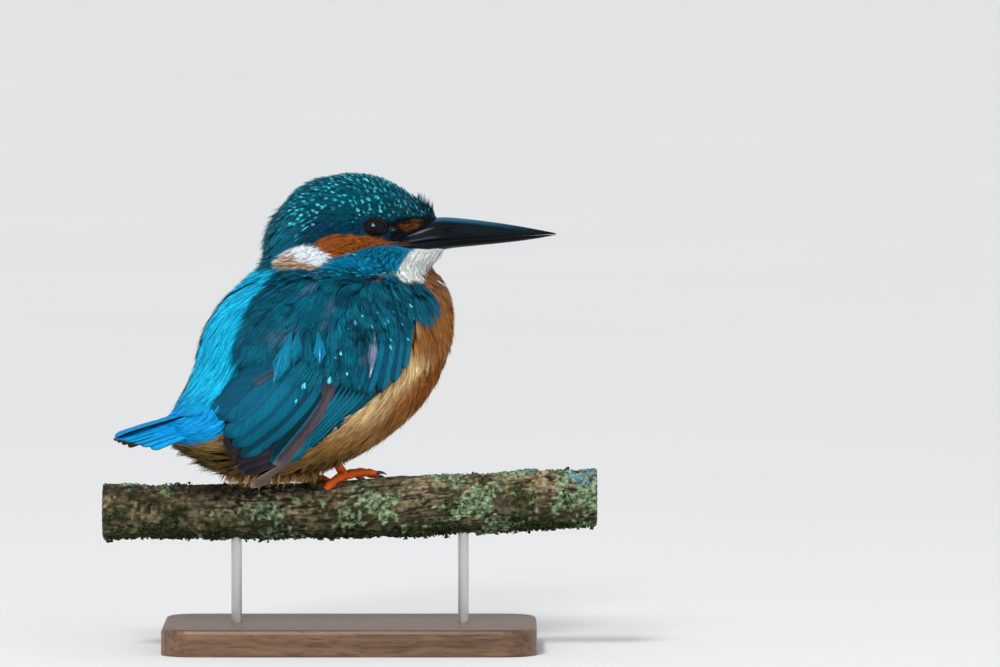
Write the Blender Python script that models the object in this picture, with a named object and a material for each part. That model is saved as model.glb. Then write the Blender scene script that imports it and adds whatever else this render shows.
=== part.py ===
"""Common kingfisher (Alcedo atthis), life size, perched on a cut length of branch over a plain display stand.

Run it with: blender --background --python part.py
Metres, +Z up.  The origin is the middle of the underside of the stand's base.  +X runs along the branch and is
the way the bill points; the bird's right wing is on the -Y side.  The trunk, tail and wings are drawn in the
bird's own axes (forward, left, up) and then turned by BODY_YAW, because the bird looks back over its shoulder.
"""

import math

import bmesh
import bpy
import numpy as np
from mathutils import Matrix, Vector

MM = 0.001
GAP = 0.3 * MM  # clearance between pieces that touch
FLAT = math.radians(1)  # faces that meet at less than this count as one flat

# ---- driving dimensions ------------------------------------------------------------------------------------
BODY_YAW = math.radians(33)  # the breast is turned this far from +X towards +Y
BODY_AT = Vector((-7.5, 3.0, 0.0)) * MM  # where the bird's own axes start
HEAD_Y = 6.0 * MM  # the head's middle plane, in which the bill lies
BASE_LENGTH, BASE_DEPTH, BASE_THICKNESS = 112 * MM, 64 * MM, 8 * MM
BASE_CORNER = 10 * MM
ROD_RADIUS, ROD_X, ROD_SOCKET = 1.6 * MM, 34 * MM, 4 * MM
BRANCH_HEIGHT = 41.4 * MM  # the branch's middle over the floor, on its level side
BRANCH_RADIUS = 8.5 * MM
BRANCH_LENGTH = 148 * MM
NECK_TOP, NECK_BOTTOM = 113.6 * MM, 107.4 * MM
EYE_RADIUS, EYE_X, EYE_Z, EYE_SIDE = 4.3 * MM, 7.9 * MM, 126.6 * MM, 12.4 * MM
WING_DEPTH, WING_DEPTH_AT_BACK = 3.0 * MM, 1.6 * MM  # how thick the folded wing lies on the trunk
WING_CUT = 79 * MM  # the coverts end and the flight feathers start at this height

# ---- stations, in millimetres ------------------------------------------------------------------------------
# Trunk: forward and up of the back's point, forward and up of the belly's point, half width.
TRUNK = (
    (-14.5, 119.0, 27.5, 119.0, 14.0),
    (-23.0, 112.3, 39.0, 110.0, 21.5),
    (-30.5, 105.8, 41.0, 101.5, 26.8),
    (-36.0, 99.0, 40.5, 92.5, 29.2),
    (-38.8, 92.5, 37.0, 84.0, 30.2),
    (-40.4, 86.0, 31.6, 75.5, 30.2),
    (-43.9, 80.0, 23.5, 67.5, 29.0),
    (-47.2, 75.5, 11.0, 59.5, 26.0),
    (-49.8, 72.8, -3.0, 53.6, 21.5),
    (-51.8, 71.3, -17.0, 51.6, 17.0),
    (-53.8, 70.2, -30.5, 52.4, 12.5),
    (-55.8, 69.2, -41.0, 56.6, 8.5),
    (-57.3, 68.4, -50.5, 62.6, 4.5),
)
# Head: along X, top, bottom, half width.
HEAD = (
    (-25.2, 120.5, 116.8, 2.5),
    (-24.4, 124.5, 114.8, 7.0),
    (-22.6, 128.5, 113.2, 10.5),
    (-19.8, 132.6, 112.2, 13.2),
    (-15.6, 137.6, 111.4, 15.4),
    (-10.5, 140.2, 110.8, 16.6),
    (-4.0, 142.0, 110.6, 17.0),
    (2.0, 142.5, 110.8, 16.6),
    (8.0, 141.5, 111.4, 15.4),
    (13.0, 139.5, 111.8, 13.2),
    (17.5, 136.7, 112.2, 10.8),
    (21.5, 134.2, 113.2, 8.6),
    (25.0, 131.4, 115.2, 6.8),
    (28.2, 127.8, 117.4, 5.0),
    (30.0, 124.4, 119.2, 2.4),
)
# Bill: along X, culmen, keel, half width.
BILL = (
    (16.5, 127.4, 118.6, 5.6),
    (21.0, 128.6, 118.9, 5.3),
    (26.0, 129.2, 119.3, 4.7),
    (31.0, 129.1, 120.0, 4.1),
    (37.0, 128.5, 120.6, 3.5),
    (44.0, 127.6, 121.3, 2.8),
    (51.0, 126.5, 122.1, 2.1),
    (57.0, 125.4, 123.0, 1.3),
    (60.6, 124.7, 123.7, 0.6),
    (61.9, 124.35, 124.0, 0.25),
)
# Where the two halves of the bill meet: X and height at the gape, the base and the tip.
BILL_LINE = ((10.0, 120.9), (26.0, 122.6), (66.0, 124.3))
# Tail: forward, height of its middle, half width, half thickness.
TAIL = (
    (-46.0, 69.2, 5.0, 2.3),
    (-53.0, 68.1, 6.6, 2.2),
    (-60.0, 66.9, 7.8, 1.8),
    (-65.5, 65.9, 8.2, 1.3),
    (-69.5, 65.2, 7.5, 0.9),
    (-72.0, 64.8, 5.4, 0.6),
    (-73.1, 64.6, 2.6, 0.4),
)
TAIL_ARCH = 1.7 * MM  # the tail's edges hang this much under its middle
# Outline of the folded wing on the trunk, seen from the side: forward, up.
WING_OUTLINE = (
    (4.0, 112.0),
    (12.0, 110.0),
    (15.6, 105.0),
    (15.0, 97.0),
    (11.5, 88.0),
    (5.0, 80.5),
    (-4.0, 74.0),
    (-13.0, 66.5),
    (-22.0, 61.0),
    (-31.0, 58.0),
    (-39.5, 60.5),
    (-43.5, 66.0),
    (-43.0, 71.5),
    (-40.8, 77.5),
    (-39.6, 84.0),
    (-38.0, 91.0),
    (-35.2, 97.0),
    (-30.2, 104.0),
    (-23.0, 110.5),
    (-14.0, 114.5),
    (-4.0, 114.4),
)
# Flight feathers of the folded wing: leading edge (forward, out, up), trailing edge (forward, out, up),
# bulge outwards, depth inwards.
FLIGHT = (
    (4.0, 24.0, 80.0, -39.0, 12.0, 77.0, 8.0, 4.0),
    (-4.0, 24.0, 74.0, -42.0, 12.0, 70.0, 7.0, 4.0),
    (-12.5, 22.5, 66.5, -43.0, 11.5, 64.0, 5.0, 3.2),
    (-19.0, 19.5, 58.5, -40.5, 10.0, 59.5, 3.4, 2.4),
    (-24.7, 15.5, 52.6, -38.0, 8.8, 54.5, 2.0, 1.8),
    (-29.0, 12.0, 49.8, -35.5, 8.6, 51.4, 1.0, 1.4),
    (-32.0, 9.8, 48.4, -33.4, 9.0, 49.2, 0.3, 0.9),
)
LEFT_TIP_RAISED = 4.0 * MM  # the left wing is held a little higher, over the branch

# Feet: where each stands along X, its turn about the branch from the top, and the ankle (X, Y, height).
FEET = {
    "right": {"x": -1.5, "turn": -12.0, "ankle": (-8.5, 0.5, 63.0)},
    "left": {"x": -15.5, "turn": 16.0, "ankle": (-20.0, 5.0, 63.0)},
}
# Toes: name, heading from +X towards +Y in degrees, length, radius.
TOES = (("outer", 19.0, 9.6, 1.1), ("middle", 37.0, 12.0, 1.2), ("inner", 56.0, 8.6, 1.0), ("hind", 227.0, 8.2, 1.15))
SHANK_RADIUS = 1.35 * MM
CLAW_LENGTH, CLAW_RADIUS = 3.4 * MM, 0.62 * MM

COLOURS = {
    "crown_blue": ((0.01, 0.12, 0.17), 0.5, 0.0),
    "wing_teal": ((0.005, 0.14, 0.20), 0.5, 0.0),
    "trunk_orange": ((0.45, 0.18, 0.05), 0.7, 0.0),
    "neck_white": ((0.80, 0.78, 0.72), 0.7, 0.0),
    "tail_blue": ((0.0, 0.14, 0.45), 0.5, 0.0),
    "bill_black": ((0.012, 0.012, 0.014), 0.35, 0.0),
    "eye_black": ((0.006, 0.004, 0.003), 0.05, 0.0),
    "leg_red": ((0.75, 0.12, 0.015), 0.5, 0.0),
    "claw_grey": ((0.02, 0.018, 0.017), 0.4, 0.0),
    "branch_bark": ((0.10, 0.085, 0.055), 0.9, 0.0),
    "stand_wood": ((0.11, 0.055, 0.03), 0.4, 0.0),
    "stand_steel": ((0.45, 0.44, 0.42), 0.35, 1.0),
}


def clear_scene():
    for obj in list(bpy.data.objects):
        bpy.data.objects.remove(obj)


def material(name):
    """The named colour as a Principled material, made once."""
    found = bpy.data.materials.get(name)
    if found:
        return found
    colour, roughness, metallic = COLOURS[name]
    made = bpy.data.materials.new(name)
    made.use_nodes = True
    shader = made.node_tree.nodes["Principled BSDF"]
    shader.inputs["Base Color"].default_value = (*colour, 1)
    shader.inputs["Roughness"].default_value = roughness
    shader.inputs["Metallic"].default_value = metallic
    return made


def keep(obj, name, colour):
    """Makes the object a named part of the bird, with needless edges left out, shaded smooth."""
    obj.name = obj.data.name = name
    shape = bmesh.new()
    shape.from_mesh(obj.data)
    bmesh.ops.dissolve_limit(shape, angle_limit=FLAT, verts=shape.verts, edges=shape.edges)
    bmesh.ops.triangulate(shape, faces=shape.faces)
    shape.to_mesh(obj.data)
    shape.free()
    obj.data.materials.clear()
    obj.data.materials.append(material(colour))
    obj.data.shade_smooth()
    obj.data.set_sharp_from_angle(angle=math.radians(40))
    return obj


def smooth_rows(rows, count):
    """The station rows resampled to count rows, along a Catmull-Rom curve through them, in metres."""
    rows = np.array(rows, float) * MM
    ends = np.vstack([2 * rows[0] - rows[1], rows, 2 * rows[-1] - rows[-2]])
    at = np.linspace(0, len(rows) - 1, count)
    i = np.minimum(at.astype(int), len(rows) - 2)
    t = (at - i)[:, None]
    a, b, c, d = (ends[i + k] for k in range(4))
    return 0.5 * (2 * b + (c - a) * t + (2 * a - 5 * b + 4 * c - d) * t**2 + (3 * b - a - 3 * c + d) * t**3)


def rounded(angles, power):
    """Cosine and sine of a superellipse of this power, which is 2 for an ellipse."""
    c, s = np.cos(angles), np.sin(angles)
    return np.sign(c) * np.abs(c) ** (2 / power), np.sign(s) * np.abs(s) ** (2 / power)


def new_object(name, points, faces):
    mesh = bpy.data.meshes.new(name)
    mesh.from_pydata([tuple(p) for p in points], [], faces)
    mesh.update()
    obj = bpy.data.objects.new(name, mesh)
    bpy.context.collection.objects.link(obj)
    return obj


def loft(name, rings):
    """A closed skin over rings of equal length, with a flat cap on the first and the last, facing outwards."""
    rings = np.array(rings)
    count, around = rings.shape[:2]
    faces = [tuple(range(around)), tuple(range(count * around - 1, (count - 1) * around - 1, -1))]
    for i in range(count - 1):
        for j in range(around):
            k = (j + 1) % around
            faces.append((i * around + j, (i + 1) * around + j, (i + 1) * around + k, i * around + k))
    obj = new_object(name, rings.reshape(-1, 3), faces)
    shape = bmesh.new()
    shape.from_mesh(obj.data)
    bmesh.ops.recalc_face_normals(shape, faces=shape.faces)
    bmesh.ops.triangulate(shape, faces=shape.faces)
    shape.to_mesh(obj.data)
    shape.free()
    return obj


def body_turn():
    """The bird's own axes (forward, left, up) in the part's frame."""
    return Matrix.Translation(BODY_AT) @ Matrix.Rotation(BODY_YAW, 4, "Z")


def boolean(target, tool, operation, keep_tool=False):
    """Applies one Boolean with the EXACT solver, and removes the tool unless it is needed again."""
    step = target.modifiers.new(operation, "BOOLEAN")
    step.operation, step.object, step.solver = operation, tool, "EXACT"
    graph = bpy.context.evaluated_depsgraph_get()
    made = bpy.data.meshes.new_from_object(target.evaluated_get(graph))
    target.modifiers.clear()
    shape = bmesh.new()
    shape.from_mesh(made)
    bmesh.ops.remove_doubles(shape, verts=shape.verts, dist=2e-6)
    bmesh.ops.dissolve_degenerate(shape, edges=shape.edges, dist=2e-6)
    bmesh.ops.triangulate(shape, faces=shape.faces)
    shape.to_mesh(made)
    shape.free()
    target.data = made
    if not keep_tool:
        bpy.data.objects.remove(tool)
    return target


def copy_of(obj, name):
    made = obj.copy()
    made.data = obj.data.copy()
    made.name = name
    bpy.context.collection.objects.link(made)
    return made


def box(name, low, high):
    bpy.ops.mesh.primitive_cube_add(size=1)
    obj = bpy.context.object
    obj.name = name
    low, high = Vector(low), Vector(high)
    obj.data.transform(Matrix.Translation((low + high) / 2) @ Matrix.Diagonal((*(high - low), 1)))
    return obj


def tube(name, points, radii, sides=1):
    """A round tube through the points with a radius at each, as a closed mesh."""
    curve = bpy.data.curves.new(name, "CURVE")
    curve.dimensions, curve.bevel_depth, curve.bevel_resolution = "3D", 1.0, sides
    curve.use_fill_caps = True
    line = curve.splines.new("POLY")
    line.points.add(len(points) - 1)
    for spot, at, radius in zip(line.points, points, radii, strict=True):
        spot.co = (*at, 1)
        spot.radius = radius
    drawn = bpy.data.objects.new(name, curve)
    bpy.context.collection.objects.link(drawn)
    graph = bpy.context.evaluated_depsgraph_get()
    mesh = bpy.data.meshes.new_from_object(drawn.evaluated_get(graph))
    bpy.data.objects.remove(drawn)
    shape = bmesh.new()
    shape.from_mesh(mesh)
    bmesh.ops.remove_doubles(shape, verts=shape.verts, dist=1e-6)
    bmesh.ops.recalc_face_normals(shape, faces=shape.faces)
    shape.to_mesh(mesh)
    shape.free()
    obj = bpy.data.objects.new(name, mesh)
    bpy.context.collection.objects.link(obj)
    return obj


# ---- the bird ----------------------------------------------------------------------------------------------


def trunk_shape(name, side=0.0, back=0.0, grow=0.0, count=22, around=24):
    """The trunk with its folded wings. side and back draw it in there, and grow swells it all round."""
    angles = np.linspace(0, 2 * math.pi, around, endpoint=False)
    down, across = rounded(angles, 2.15)
    rings = []
    for back_f, back_z, belly_f, belly_z, half_width in smooth_rows(TRUNK, count):
        top, bottom = np.array((back_f, back_z)), np.array((belly_f, belly_z))
        line = (bottom - top) / np.linalg.norm(bottom - top)
        top, bottom = top + line * (back - grow), bottom + line * grow
        middle, half = (top + bottom) / 2, np.linalg.norm(bottom - top) / 2
        spots = middle + np.outer(-down * half, line)
        rings.append(np.column_stack([spots[:, 0], across * max(half_width - side + grow, 1 * MM), spots[:, 1]]))
    obj = loft(name, rings)
    obj.data.transform(body_turn())
    return obj


def head_shape(name, count=19, around=20):
    """The head, which is fuller at the cheeks than at the crown."""
    angles = np.linspace(0, 2 * math.pi, around, endpoint=False)
    up, across = rounded(angles, 2.2)
    rings = []
    for x, top, bottom, half_width in smooth_rows(HEAD, count):
        middle, half = (top + bottom) / 2, (top - bottom) / 2
        y = HEAD_Y + across * half_width * (1 - 0.07 * up)
        rings.append(np.column_stack([np.full(around, x), y, middle + up * half]))
    return loft(name, rings)


def bill_shape(name, grow=0.0, count=14, around=16):
    """The whole bill, both halves, a little wedge-shaped in section."""
    angles = np.linspace(0, 2 * math.pi, around, endpoint=False)
    up, across = rounded(angles, 1.8)
    rings = []
    for x, top, bottom, half_width in smooth_rows(BILL, count):
        middle, half = (top + bottom) / 2, (top - bottom) / 2 + grow
        y = HEAD_Y + across * (half_width + grow)
        rings.append(np.column_stack([np.full(around, x), y, middle + up * half]))
    return loft(name, rings)


def bill_divider(name, side):
    """A block that holds what lies over the bill's meeting line (side 1) or under it (side -1)."""
    outline = [(x * MM, z * MM + side * GAP / 2) for x, z in BILL_LINE]
    far = [(x, z + side * 30 * MM) for x, z in reversed(outline)]
    rings = [[(x, y * MM, z) for x, z in outline + far] for y in (-20, 30)]
    return loft(name, rings)


def tail_shape(name, grow=0.0, count=13, around=16):
    angles = np.linspace(0, 2 * math.pi, around, endpoint=False)
    up, across = rounded(angles, 2.0)
    rings = []
    for forward, middle, half_width, half in smooth_rows(TAIL, count):
        arch = -TAIL_ARCH * half_width / (8 * MM) * across**2
        y = across * (half_width + grow)
        rings.append(np.column_stack([np.full(around, forward), y, middle + arch + up * (half + grow)]))
    obj = loft(name, rings)
    obj.data.transform(body_turn())
    return obj


def wing_block(name, side, grow=0.0):
    """What lies inside the wing's outline on one side: -1 for the right wing, 1 for the left."""
    closed = np.array(smooth_rows(WING_OUTLINE + WING_OUTLINE[:1], 43))[:-1]
    edge = np.roll(closed, -1, axis=0) - np.roll(closed, 1, axis=0)
    out = np.column_stack([-edge[:, 1], edge[:, 0]]) / np.linalg.norm(edge, axis=1)[:, None]
    area = np.sum(closed[:, 0] * np.roll(closed[:, 1], -1) - closed[:, 1] * np.roll(closed[:, 0], -1))
    closed = closed - np.sign(area) * out * grow
    rings = [[(f, side * y, z) for f, z in closed] for y in (1 * MM, 45 * MM)]
    obj = loft(name, rings)
    obj.data.transform(body_turn())
    return obj


def flight_shape(name, side, grow=0.0, count=13, around=16):
    """The stack of flight feathers, a curved blade that runs on past the trunk to the wing's tip."""
    half = around // 2
    rows = smooth_rows(FLIGHT, count)
    rings = []
    for step, row in enumerate(rows):
        lead, trail, bulge, depth = row[0:3], row[3:6], row[6], row[7]
        raised = LEFT_TIP_RAISED * (step / (count - 1)) ** 2 if side > 0 else 0.0
        share = (1 - np.cos(np.linspace(0, math.pi, half))) / 2
        chord = lead + np.outer(share, trail - lead)
        bow = np.sqrt(np.clip(1 - (2 * share - 1) ** 2, 0, 1))
        outer, inner = chord.copy(), chord[::-1].copy()
        outer[:, 1] += bow * (bulge + grow) + grow
        inner[:, 1] += bow * (bulge - depth - 2 * grow) - 0.5 * MM - grow
        ring = np.vstack([outer, inner])
        ring[:, 1] *= side
        ring[:, 2] += raised
        rings.append(ring)
    obj = loft(name, rings)
    obj.data.transform(body_turn())
    return obj


def eye_shape(name, side, radius):
    bpy.ops.mesh.primitive_uv_sphere_add(segments=14, ring_count=8, radius=radius)
    obj = bpy.context.object
    obj.name = name
    obj.data.transform(Matrix.Rotation(math.pi / 2, 4, "X"))
    obj.data.transform(Matrix.Translation((EYE_X, HEAD_Y + side * EYE_SIDE, EYE_Z)))
    return obj


# ---- the branch and the feet on it -------------------------------------------------------------------------


def branch_middle(x):
    """Height of the branch's middle at x: level on the side of the tail, then rising slowly towards +X."""
    past_bend = x + 15 * MM
    return BRANCH_HEIGHT + 0.024 * (past_bend + math.hypot(past_bend, 14 * MM)) - 0.2 * MM


def branch_radius(x):
    """Its radius at x, with slow swellings at the old twig scars."""
    swelling = 0.3 * MM * math.sin(x / (17 * MM) + 0.6) + 0.2 * MM * math.sin(x / (7.3 * MM))
    return BRANCH_RADIUS + 0.006 * x + swelling * min(1.0, abs(x + 8 * MM) / (30 * MM))


def branch_shape(name, grow=0.0, count=18, around=16):
    angles = np.linspace(0, 2 * math.pi, around, endpoint=False)
    rings = []
    for x in np.linspace(-BRANCH_LENGTH / 2 - grow, BRANCH_LENGTH / 2 + grow, count):
        radius = branch_radius(x) + grow
        rings.append([(x, radius * math.sin(a), branch_middle(x) + radius * math.cos(a)) for a in angles])
    return loft(name, rings)


def on_branch(x, turn, height):
    """The point this high over the bark, at x and turned from the top towards +Y."""
    reach = branch_radius(x) + height
    return Vector((x, reach * math.sin(turn), branch_middle(x) + reach * math.cos(turn)))


def toe_line(foot, heading, length, radius, steps=7):
    """Points along a toe that wraps the branch, from under the ankle to where its claw starts."""
    start_x, start_turn, heading = foot["x"] * MM, math.radians(foot["turn"]), math.radians(heading)
    points = []
    for step in range(steps):
        run = length * step / (steps - 1)
        x = start_x + run * math.cos(heading)
        turn = start_turn + run * math.sin(heading) / (branch_radius(x) + radius)
        knuckle = 0.35 * MM * math.sin(math.pi * step / (steps - 1))
        points.append(on_branch(x, turn, radius + GAP + 0.15 * MM + knuckle))
    return points


def leg_shape(name, foot, grow=0.0):
    """Shank and four toes, joined into one."""
    pad = on_branch(foot["x"] * MM, math.radians(foot["turn"]), 1.6 * MM)
    ankle = Vector(foot["ankle"]) * MM
    shank = [pad.lerp(ankle, t) for t in (0, 0.25, 0.6, 1)]
    leg = tube(name, shank, [SHANK_RADIUS * k + grow for k in (1.15, 0.95, 1.0, 1.2)])
    for toe, heading, length, radius in TOES:
        points = toe_line(foot, heading, length * MM, radius * MM)
        radii = [radius * MM * k + grow for k in (1.0, 1.05, 0.95, 1.0, 0.9, 0.92, 0.7)]
        boolean(leg, tube(toe, points, radii), "UNION")
    return leg


def claw_shape(name, foot, heading, length, radius, grow=0.0):
    """A curved claw that starts just past its toe's end and stays clear of the bark."""
    line = toe_line(foot, heading, length * MM, radius * MM)
    along = (line[-1] - line[-2]).normalized()
    axis = Vector((line[-1].x, 0, branch_middle(line[-1].x)))
    outward = (line[-1] - axis).normalized()
    start = line[-1] + along * GAP * 1.6
    points, radii = [], []
    for share in (0, 0.25, 0.5, 0.75, 1):
        bend = outward * (0.35 * math.sin(math.pi * share) - 0.30 * share**2) * MM
        points.append(start + along * CLAW_LENGTH * share + bend)
        radii.append(CLAW_RADIUS * (1 - 0.6 * share**1.5))
    for spot, thick in zip(points, radii, strict=True):
        axis = Vector((spot.x, 0, branch_middle(spot.x)))
        least = branch_radius(spot.x) + thick + 2 * GAP
        if (spot - axis).length < least:
            spot += (spot - axis).normalized() * (least - (spot - axis).length)
    return tube(name, points, [thick + grow for thick in radii])


# ---- the stand ---------------------------------------------------------------------------------------------


def base_shape(name):
    """A flat plate with round corners and a softened upper edge."""
    obj = box(name, (-BASE_LENGTH / 2, -BASE_DEPTH / 2, 0), (BASE_LENGTH / 2, BASE_DEPTH / 2, BASE_THICKNESS))
    shape = bmesh.new()
    shape.from_mesh(obj.data)
    upright = [e for e in shape.edges if abs(e.verts[0].co.z - e.verts[1].co.z) > BASE_THICKNESS / 2]
    bmesh.ops.bevel(shape, geom=upright, offset=BASE_CORNER, segments=6, profile=0.5, affect="EDGES")
    rim = [e for e in shape.edges if all(v.co.z > BASE_THICKNESS * 0.99 for v in e.verts)]
    bmesh.ops.bevel(shape, geom=rim, offset=1.2 * MM, segments=2, profile=0.5, affect="EDGES")
    shape.to_mesh(obj.data)
    shape.free()
    return obj


def rod_shape(name, x, grow=0.0):
    low = BASE_THICKNESS - ROD_SOCKET - grow
    high = branch_middle(x) - branch_radius(x) + ROD_SOCKET + grow
    bpy.ops.mesh.primitive_cylinder_add(vertices=16, radius=ROD_RADIUS + grow, depth=high - low)
    obj = bpy.context.object
    obj.name = name
    obj.data.transform(Matrix.Translation((x, 0, (low + high) / 2)))
    return obj


# ---- putting it together -----------------------------------------------------------------------------------


def make_stand():
    base, branch = base_shape("stand_base"), branch_shape("branch")
    for end, x in (("left", -ROD_X), ("right", ROD_X)):
        for held in (base, branch):
            boolean(held, rod_shape("socket", x, GAP), "DIFFERENCE")
        keep(rod_shape(f"stand_rod_{end}", x), f"stand_rod_{end}", "stand_steel")
    keep(base, "stand_base", "stand_wood")
    keep(branch, "branch", "branch_bark")


def make_legs():
    for side, foot in FEET.items():
        keep(leg_shape(f"leg_{side}", foot), f"leg_{side}", "leg_red")
        for toe, heading, length, radius in TOES:
            name = f"claw_{side}_{toe}"
            keep(claw_shape(name, foot, heading, length, radius), name, "claw_grey")


def cut_clear(obj, wing=False):
    """Takes what the branch and the legs need out of a piece of the body."""
    boolean(obj, branch_shape("clear_branch", GAP), "DIFFERENCE")
    if not wing:
        for side, foot in FEET.items():
            boolean(obj, leg_shape(f"clear_{side}", foot, GAP), "DIFFERENCE")
            for toe, heading, length, radius in TOES:
                boolean(obj, claw_shape(f"clear_{toe}", foot, heading, length, radius, GAP), "DIFFERENCE")
    return obj


def wing_space(name, side, grow=0.0):
    """What the wing's outline and its flight feathers hold on one side, inwards to the trunk's core."""
    space = wing_block(name, side, grow)
    boolean(space, flight_shape("blade", side, grow), "UNION")
    boolean(space, trunk_shape("core", WING_DEPTH + grow, WING_DEPTH_AT_BACK + grow), "DIFFERENCE")
    return space


def make_wings(full):
    """Each wing is a shell taken from the side of the full body, with the flight feathers run on to its tip."""
    far = 200 * MM
    for name, side in (("right", -1), ("left", 1)):
        shell = copy_of(full, f"flight_{name}")
        boolean(shell, wing_block("block", side), "INTERSECT")
        boolean(shell, flight_shape("blade", side), "UNION")
        boolean(shell, trunk_shape("core", WING_DEPTH, WING_DEPTH_AT_BACK), "DIFFERENCE")
        coverts = copy_of(shell, f"wing_{name}")
        boolean(coverts, box("upper", (-far, -far, WING_CUT + GAP / 2), (far, far, far)), "INTERSECT")
        boolean(shell, box("lower", (-far, -far, 0), (far, far, WING_CUT - GAP / 2)), "INTERSECT")
        keep(coverts, f"wing_{name}", "wing_teal")
        keep(cut_clear(shell, wing=True), f"flight_{name}", "wing_teal")


def make_trunk(full):
    """The full body less its wings, its tail and the bed of each, then parted at the neck."""
    for side in (-1, 1):
        boolean(full, wing_space("bed", side, GAP), "DIFFERENCE")
    boolean(full, tail_shape("tail_bed", GAP), "DIFFERENCE")
    cut_clear(full)
    far = 200 * MM
    levels = {
        "head": (NECK_TOP + GAP / 2, far),
        "neck": (NECK_BOTTOM + GAP / 2, NECK_TOP - GAP / 2),
        "trunk": (0, NECK_BOTTOM - GAP / 2),
    }
    colours = {"head": "crown_blue", "neck": "neck_white", "trunk": "trunk_orange"}
    for name, (low, high) in levels.items():
        piece = copy_of(full, name)
        boolean(piece, box("level", (-far, -far, low), (far, far, high)), "INTERSECT")
        if name == "head":
            boolean(piece, bill_shape("bill_bed", GAP), "DIFFERENCE")
            for side in (-1, 1):
                boolean(piece, eye_shape("socket", side, EYE_RADIUS + GAP), "DIFFERENCE")
        keep(piece, name, colours[name])


def make_tail():
    keep(tail_shape("tail"), "tail", "tail_blue")


def make_bill():
    for name, side in (("bill_upper", 1), ("bill_lower", -1)):
        half = bill_shape(name)
        boolean(half, bill_divider("divider", side), "INTERSECT")
        keep(half, name, "bill_black")


def make_eyes():
    for name, side in (("right", -1), ("left", 1)):
        eye = eye_shape(f"eye_{name}", side, EYE_RADIUS)
        keep(eye, f"eye_{name}", "eye_black")


def main():
    clear_scene()
    group = bpy.data.collections.new("kingfisher")
    bpy.context.scene.collection.children.link(group)
    layer = bpy.context.view_layer.layer_collection.children["kingfisher"]
    bpy.context.view_layer.active_layer_collection = layer
    make_stand()
    make_legs()
    full = trunk_shape("full")
    make_wings(full)
    boolean(full, head_shape("head_whole"), "UNION")
    make_trunk(full)
    bpy.data.objects.remove(full)
    make_tail()
    make_bill()
    make_eyes()


main()
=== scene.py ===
"""Common kingfisher, life size, on a cut length of branch over a plain display stand.

Lengths are in millimetres until a mesh is made.  The trunk, tail and wings are worked out in the bird's own
axes (forward, left, up), and the head, bill, feet and branch in the frame's.  Lines through the coat are kept
as three arrays of (tufts, steps, 3): their points, the surface's normals there and their sideways axes.
"""

import math

import bpy
import numpy as np
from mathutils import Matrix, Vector
from mathutils.bvhtree import BVHTree
from mathutils.kdtree import KDTree


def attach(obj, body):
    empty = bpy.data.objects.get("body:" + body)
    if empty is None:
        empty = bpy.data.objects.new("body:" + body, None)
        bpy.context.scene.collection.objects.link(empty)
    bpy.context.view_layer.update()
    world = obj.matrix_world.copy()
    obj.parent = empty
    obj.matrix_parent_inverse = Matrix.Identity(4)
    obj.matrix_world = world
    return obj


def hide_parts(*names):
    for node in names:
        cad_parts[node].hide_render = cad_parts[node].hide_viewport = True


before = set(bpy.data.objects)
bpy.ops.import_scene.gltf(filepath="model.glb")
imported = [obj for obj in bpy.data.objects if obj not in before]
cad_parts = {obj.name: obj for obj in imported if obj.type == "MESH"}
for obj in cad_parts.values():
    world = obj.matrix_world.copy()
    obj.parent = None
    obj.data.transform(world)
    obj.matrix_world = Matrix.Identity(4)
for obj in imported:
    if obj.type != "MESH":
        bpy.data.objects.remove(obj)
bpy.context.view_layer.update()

MM = 0.001
TURN = 2 * math.pi
YAW = math.radians(33)
BODY_X, BODY_Y, HEAD_Y = -7.5, 3.0, 6.0
# Eye: radius of the ball, place along X and up, distance out from the head's middle, height for its width.
EYE_RADIUS, EYE_X, EYE_Z, EYE_SIDE, EYE_TALL = 4.3, 7.6, 126.9, 12.4, 0.78
SIDES = (("right", -1), ("left", 1))
rng = np.random.default_rng(7)

# Trunk: forward and up of the back's point, forward and up of the belly's point, half width.
TRUNK = (
    (-14.5, 119.0, 27.5, 119.0, 14.0), (-23.0, 112.3, 39.0, 110.0, 21.5), (-30.5, 105.8, 41.0, 101.5, 26.8),
    (-36.0, 99.0, 40.5, 92.5, 29.2), (-38.8, 92.5, 37.0, 84.0, 30.2), (-40.4, 86.0, 31.6, 75.5, 30.2),
    (-43.9, 80.0, 23.5, 67.5, 29.0), (-47.2, 75.5, 11.0, 59.5, 26.0), (-49.8, 72.8, -3.0, 53.6, 21.5),
    (-51.8, 71.3, -17.0, 51.6, 17.0), (-53.8, 70.2, -30.5, 52.4, 12.5), (-55.8, 69.2, -41.0, 56.6, 8.5),
    (-57.3, 68.4, -50.5, 62.6, 4.5),
)
# Head: along X, top, bottom, half width.
HEAD = (
    (-25.2, 120.5, 116.8, 2.5), (-24.4, 124.5, 114.8, 7.0), (-22.6, 128.5, 113.2, 10.5),
    (-19.8, 132.6, 112.2, 13.2), (-15.6, 137.6, 111.4, 15.4), (-10.5, 140.2, 110.8, 16.6),
    (-4.0, 142.0, 110.6, 17.0), (2.0, 142.5, 110.8, 16.6), (8.0, 141.5, 111.4, 15.4),
    (13.0, 139.5, 111.8, 13.2), (17.5, 136.7, 112.2, 10.8), (21.5, 134.2, 113.2, 8.6),
    (25.0, 131.4, 115.2, 6.8), (28.2, 127.8, 117.4, 5.0), (30.0, 124.4, 119.2, 2.4),
)
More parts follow.
